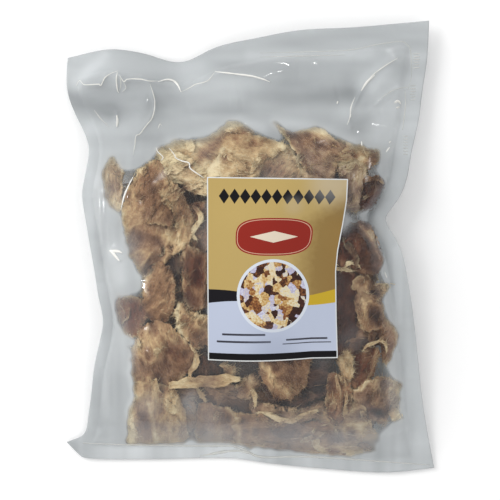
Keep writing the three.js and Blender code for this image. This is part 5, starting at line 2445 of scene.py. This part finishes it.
@dataclass
class PaperLabel:
    """A paper sticker of 76 x 102 mm, bent over the heap with its right edge turned down."""

    form: PouchForm
    columns: int = 64
    rows: int = 84
    lift: float = 0.28 * MM
    thickness: float = 0.22 * MM
    left_edge: tuple[Picture, ...] = ((207, 177), (207.3, 270), (208, 360))
    right_edge: tuple[Picture, ...] = ((348, 179), (347, 200), (343, 225), (338, 251), (336, 271),
                                       (336.5, 315), (337.6, 352), (337.6, 358))
    top_row: float = 177.0
    bottom_row: float = 360.0
    right_end_drop: float = 2.0
    bottom_bow: float = 2.2
    bow_share: float = 1.25
    sharp_edge: float = 40.0

    def build(self, film: bpy.types.Object) -> bpy.types.Object:
        """Lays the label on the film.

        Args:
            film: The finished film.

        Returns:
            The label.
        """
        label = add_grid(self.columns, self.rows)
        label.name = label.data.name = "front_label"
        start = get_places(label.data)
        across, down = start[:, 0] + 0.5, 0.5 - start[:, 1]
        left, right = np.asarray(self.left_edge, float), np.asarray(self.right_edge, float)
        top = self.top_row + self.right_end_drop * across
        bow = self.bottom_bow * np.sin(np.pi * np.clip(across * self.bow_share, 0, 1))
        bottom = self.bottom_row - self.right_end_drop * across + bow
        row = top + (bottom - top) * down
        left_column = np.interp(row, left[:, 1], left[:, 0])
        right_column = np.interp(row, right[:, 1], right[:, 0])
        column = left_column + (right_column - left_column) * across
        plan = self.form.on_top(np.column_stack([column, row]))
        height = height_on(surface_of(film), plan) + self.lift
        set_places(label.data, np.column_stack([plan, height]))
        self._map_print(label, across, down)
        apply_modifier(label, "SOLIDIFY", thickness=self.thickness, offset=1.0)
        choose(label)
        bpy.ops.object.shade_smooth_by_angle(angle=math.radians(self.sharp_edge))
        return label

    @staticmethod
    def _map_print(label: bpy.types.Object, across: np.ndarray, down: np.ndarray) -> None:
        """Writes where in the print each corner lies.

        Args:
            label: The label's sheet.
            across: From 0 at the left edge to 1 at the right edge.
            down: From 0 at the top edge to 1 at the bottom edge.
        """
        mesh = label.data
        while mesh.uv_layers:
            mesh.uv_layers.remove(mesh.uv_layers[0])
        layer = mesh.uv_layers.new(name="print")
        corner = np.empty(len(mesh.loops), np.int32)
        mesh.loops.foreach_get("vertex_index", corner)
        uv = np.column_stack([across, 1 - down])[corner]
        layer.data.foreach_set("uv", np.ascontiguousarray(uv, np.float32).ravel())


# ---- The studio -----------------------------------------------------------------------------


@dataclass
class Softbox:
    """A flat light aimed at the pouch."""

    name: str
    place: tuple[float, float, float]
    size: tuple[float, float]
    brightness: float
    lights: bool = True
    mirrored: bool = True


@dataclass
class Studio:
    """A white floor, soft lights and the camera above."""

    floor_size: float = 3.0
    floor_drop: float = 0.3 * MM
    world_brightness: float = 0.80
    mirrored_brightness: float = 0.25
    boxes: tuple[Softbox, ...] = (
        Softbox("key", (-1.15, 0.65, 0.95), (1.2, 1.2), 3.6, mirrored=False),
        Softbox("fill", (0.7, -0.5, 1.3), (0.7, 0.7), 0.9, mirrored=False),
        Softbox("left strip", (-1.1, 0.1, 0.55), (0.025, 0.15), 70.0, lights=False),
        Softbox("top strip", (0.1, 1.15, 0.6), (0.15, 0.025), 70.0, lights=False),
        Softbox("right strip", (1.1, 0.3, 0.7), (0.025, 0.1), 60.0, lights=False),
    )

    def build(self) -> None:
        """Sets up the floor, the lights, the world and the camera."""
        deselect()
        bpy.ops.mesh.primitive_plane_add(size=self.floor_size, location=(0, 0, -self.floor_drop))
        floor = bpy.context.active_object
        floor.name = floor.data.name = "floor"
        floor.data.transform(floor.matrix_world)
        floor.matrix_world.identity()
        floor.data.materials.append(PaintedFloor().material())
        for box in self.boxes:
            self._light(box)
        world = bpy.data.worlds.new("Soft grey room")
        bpy.context.scene.world = world
        world.use_nodes = True
        tree = world.node_tree
        tree.nodes.clear()
        mirrored = node(tree, "LightPath", out="Is Glossy Ray")
        strength = node(tree, "MapRange", {"Value": mirrored, "To Min": self.world_brightness,
                                           "To Max": self.mirrored_brightness})
        room = node(tree, "Background", {"Strength": strength, "Color": linear("#FFFFFF")})
        node(tree, "OutputWorld", {"Surface": room})
        self._camera()
        bpy.context.scene.view_settings.view_transform = "Standard"

    @staticmethod
    def _light(box: Softbox) -> None:
        """Adds one softbox aimed at the middle of the pouch.

        Args:
            box: The light.
        """
        deselect()
        bpy.ops.object.light_add(type="AREA", location=box.place)
        light = bpy.context.active_object
        light.name = light.data.name = box.name
        light.data.shape = "RECTANGLE"
        light.data.size, light.data.size_y = box.size
        light.data.energy = box.brightness * math.pi * box.size[0] * box.size[1]
        light.rotation_euler = Vector(box.place).to_track_quat("Z", "Y").to_euler()
        light.visible_diffuse, light.visible_glossy = box.lights, box.mirrored

    @staticmethod
    def _camera() -> None:
        """Adds the camera above the pouch."""
        deselect()
        bpy.ops.object.camera_add(location=(*VIEW.place, VIEW.height), rotation=(0, 0, 0))
        camera = bpy.context.active_object
        camera.name = camera.data.name = "camera"
        camera.data.lens = VIEW.lens(camera.data.sensor_width)
        bpy.context.scene.camera = camera


def finish(piece: bpy.types.Object, material: bpy.types.Material) -> None:
    """Gives a finished piece its material, and logs how many triangles it has.

    Args:
        piece: The finished piece.
        material: Its material.
    """
    piece.data.materials.clear()
    piece.data.materials.append(material)
    piece.data.calc_loop_triangles()
    LOG.info("%s: %d triangles", piece.name, len(piece.data.loop_triangles))


def main() -> None:
    """Builds the pouch, its contents, its label and the studio."""
    logging.basicConfig(level=logging.INFO, format="%(message)s")
    Studio().build()
    form = PouchForm()
    fish = FishHeap(form).build()
    flesh = AirDriedFish().material()
    for piece in fish:
        finish(piece, flesh)
        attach(piece, "root")
    film = PouchFilm(form).build(fish)
    finish(film, BlownPolyethyleneFilm().material())
    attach(film, "root")
    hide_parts("bag")
    label = PaperLabel(form).build(film)
    finish(label, CoatedPaperPrint().material())
    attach(label, "root")
    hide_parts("label")


if __name__ == "__main__":
    main()
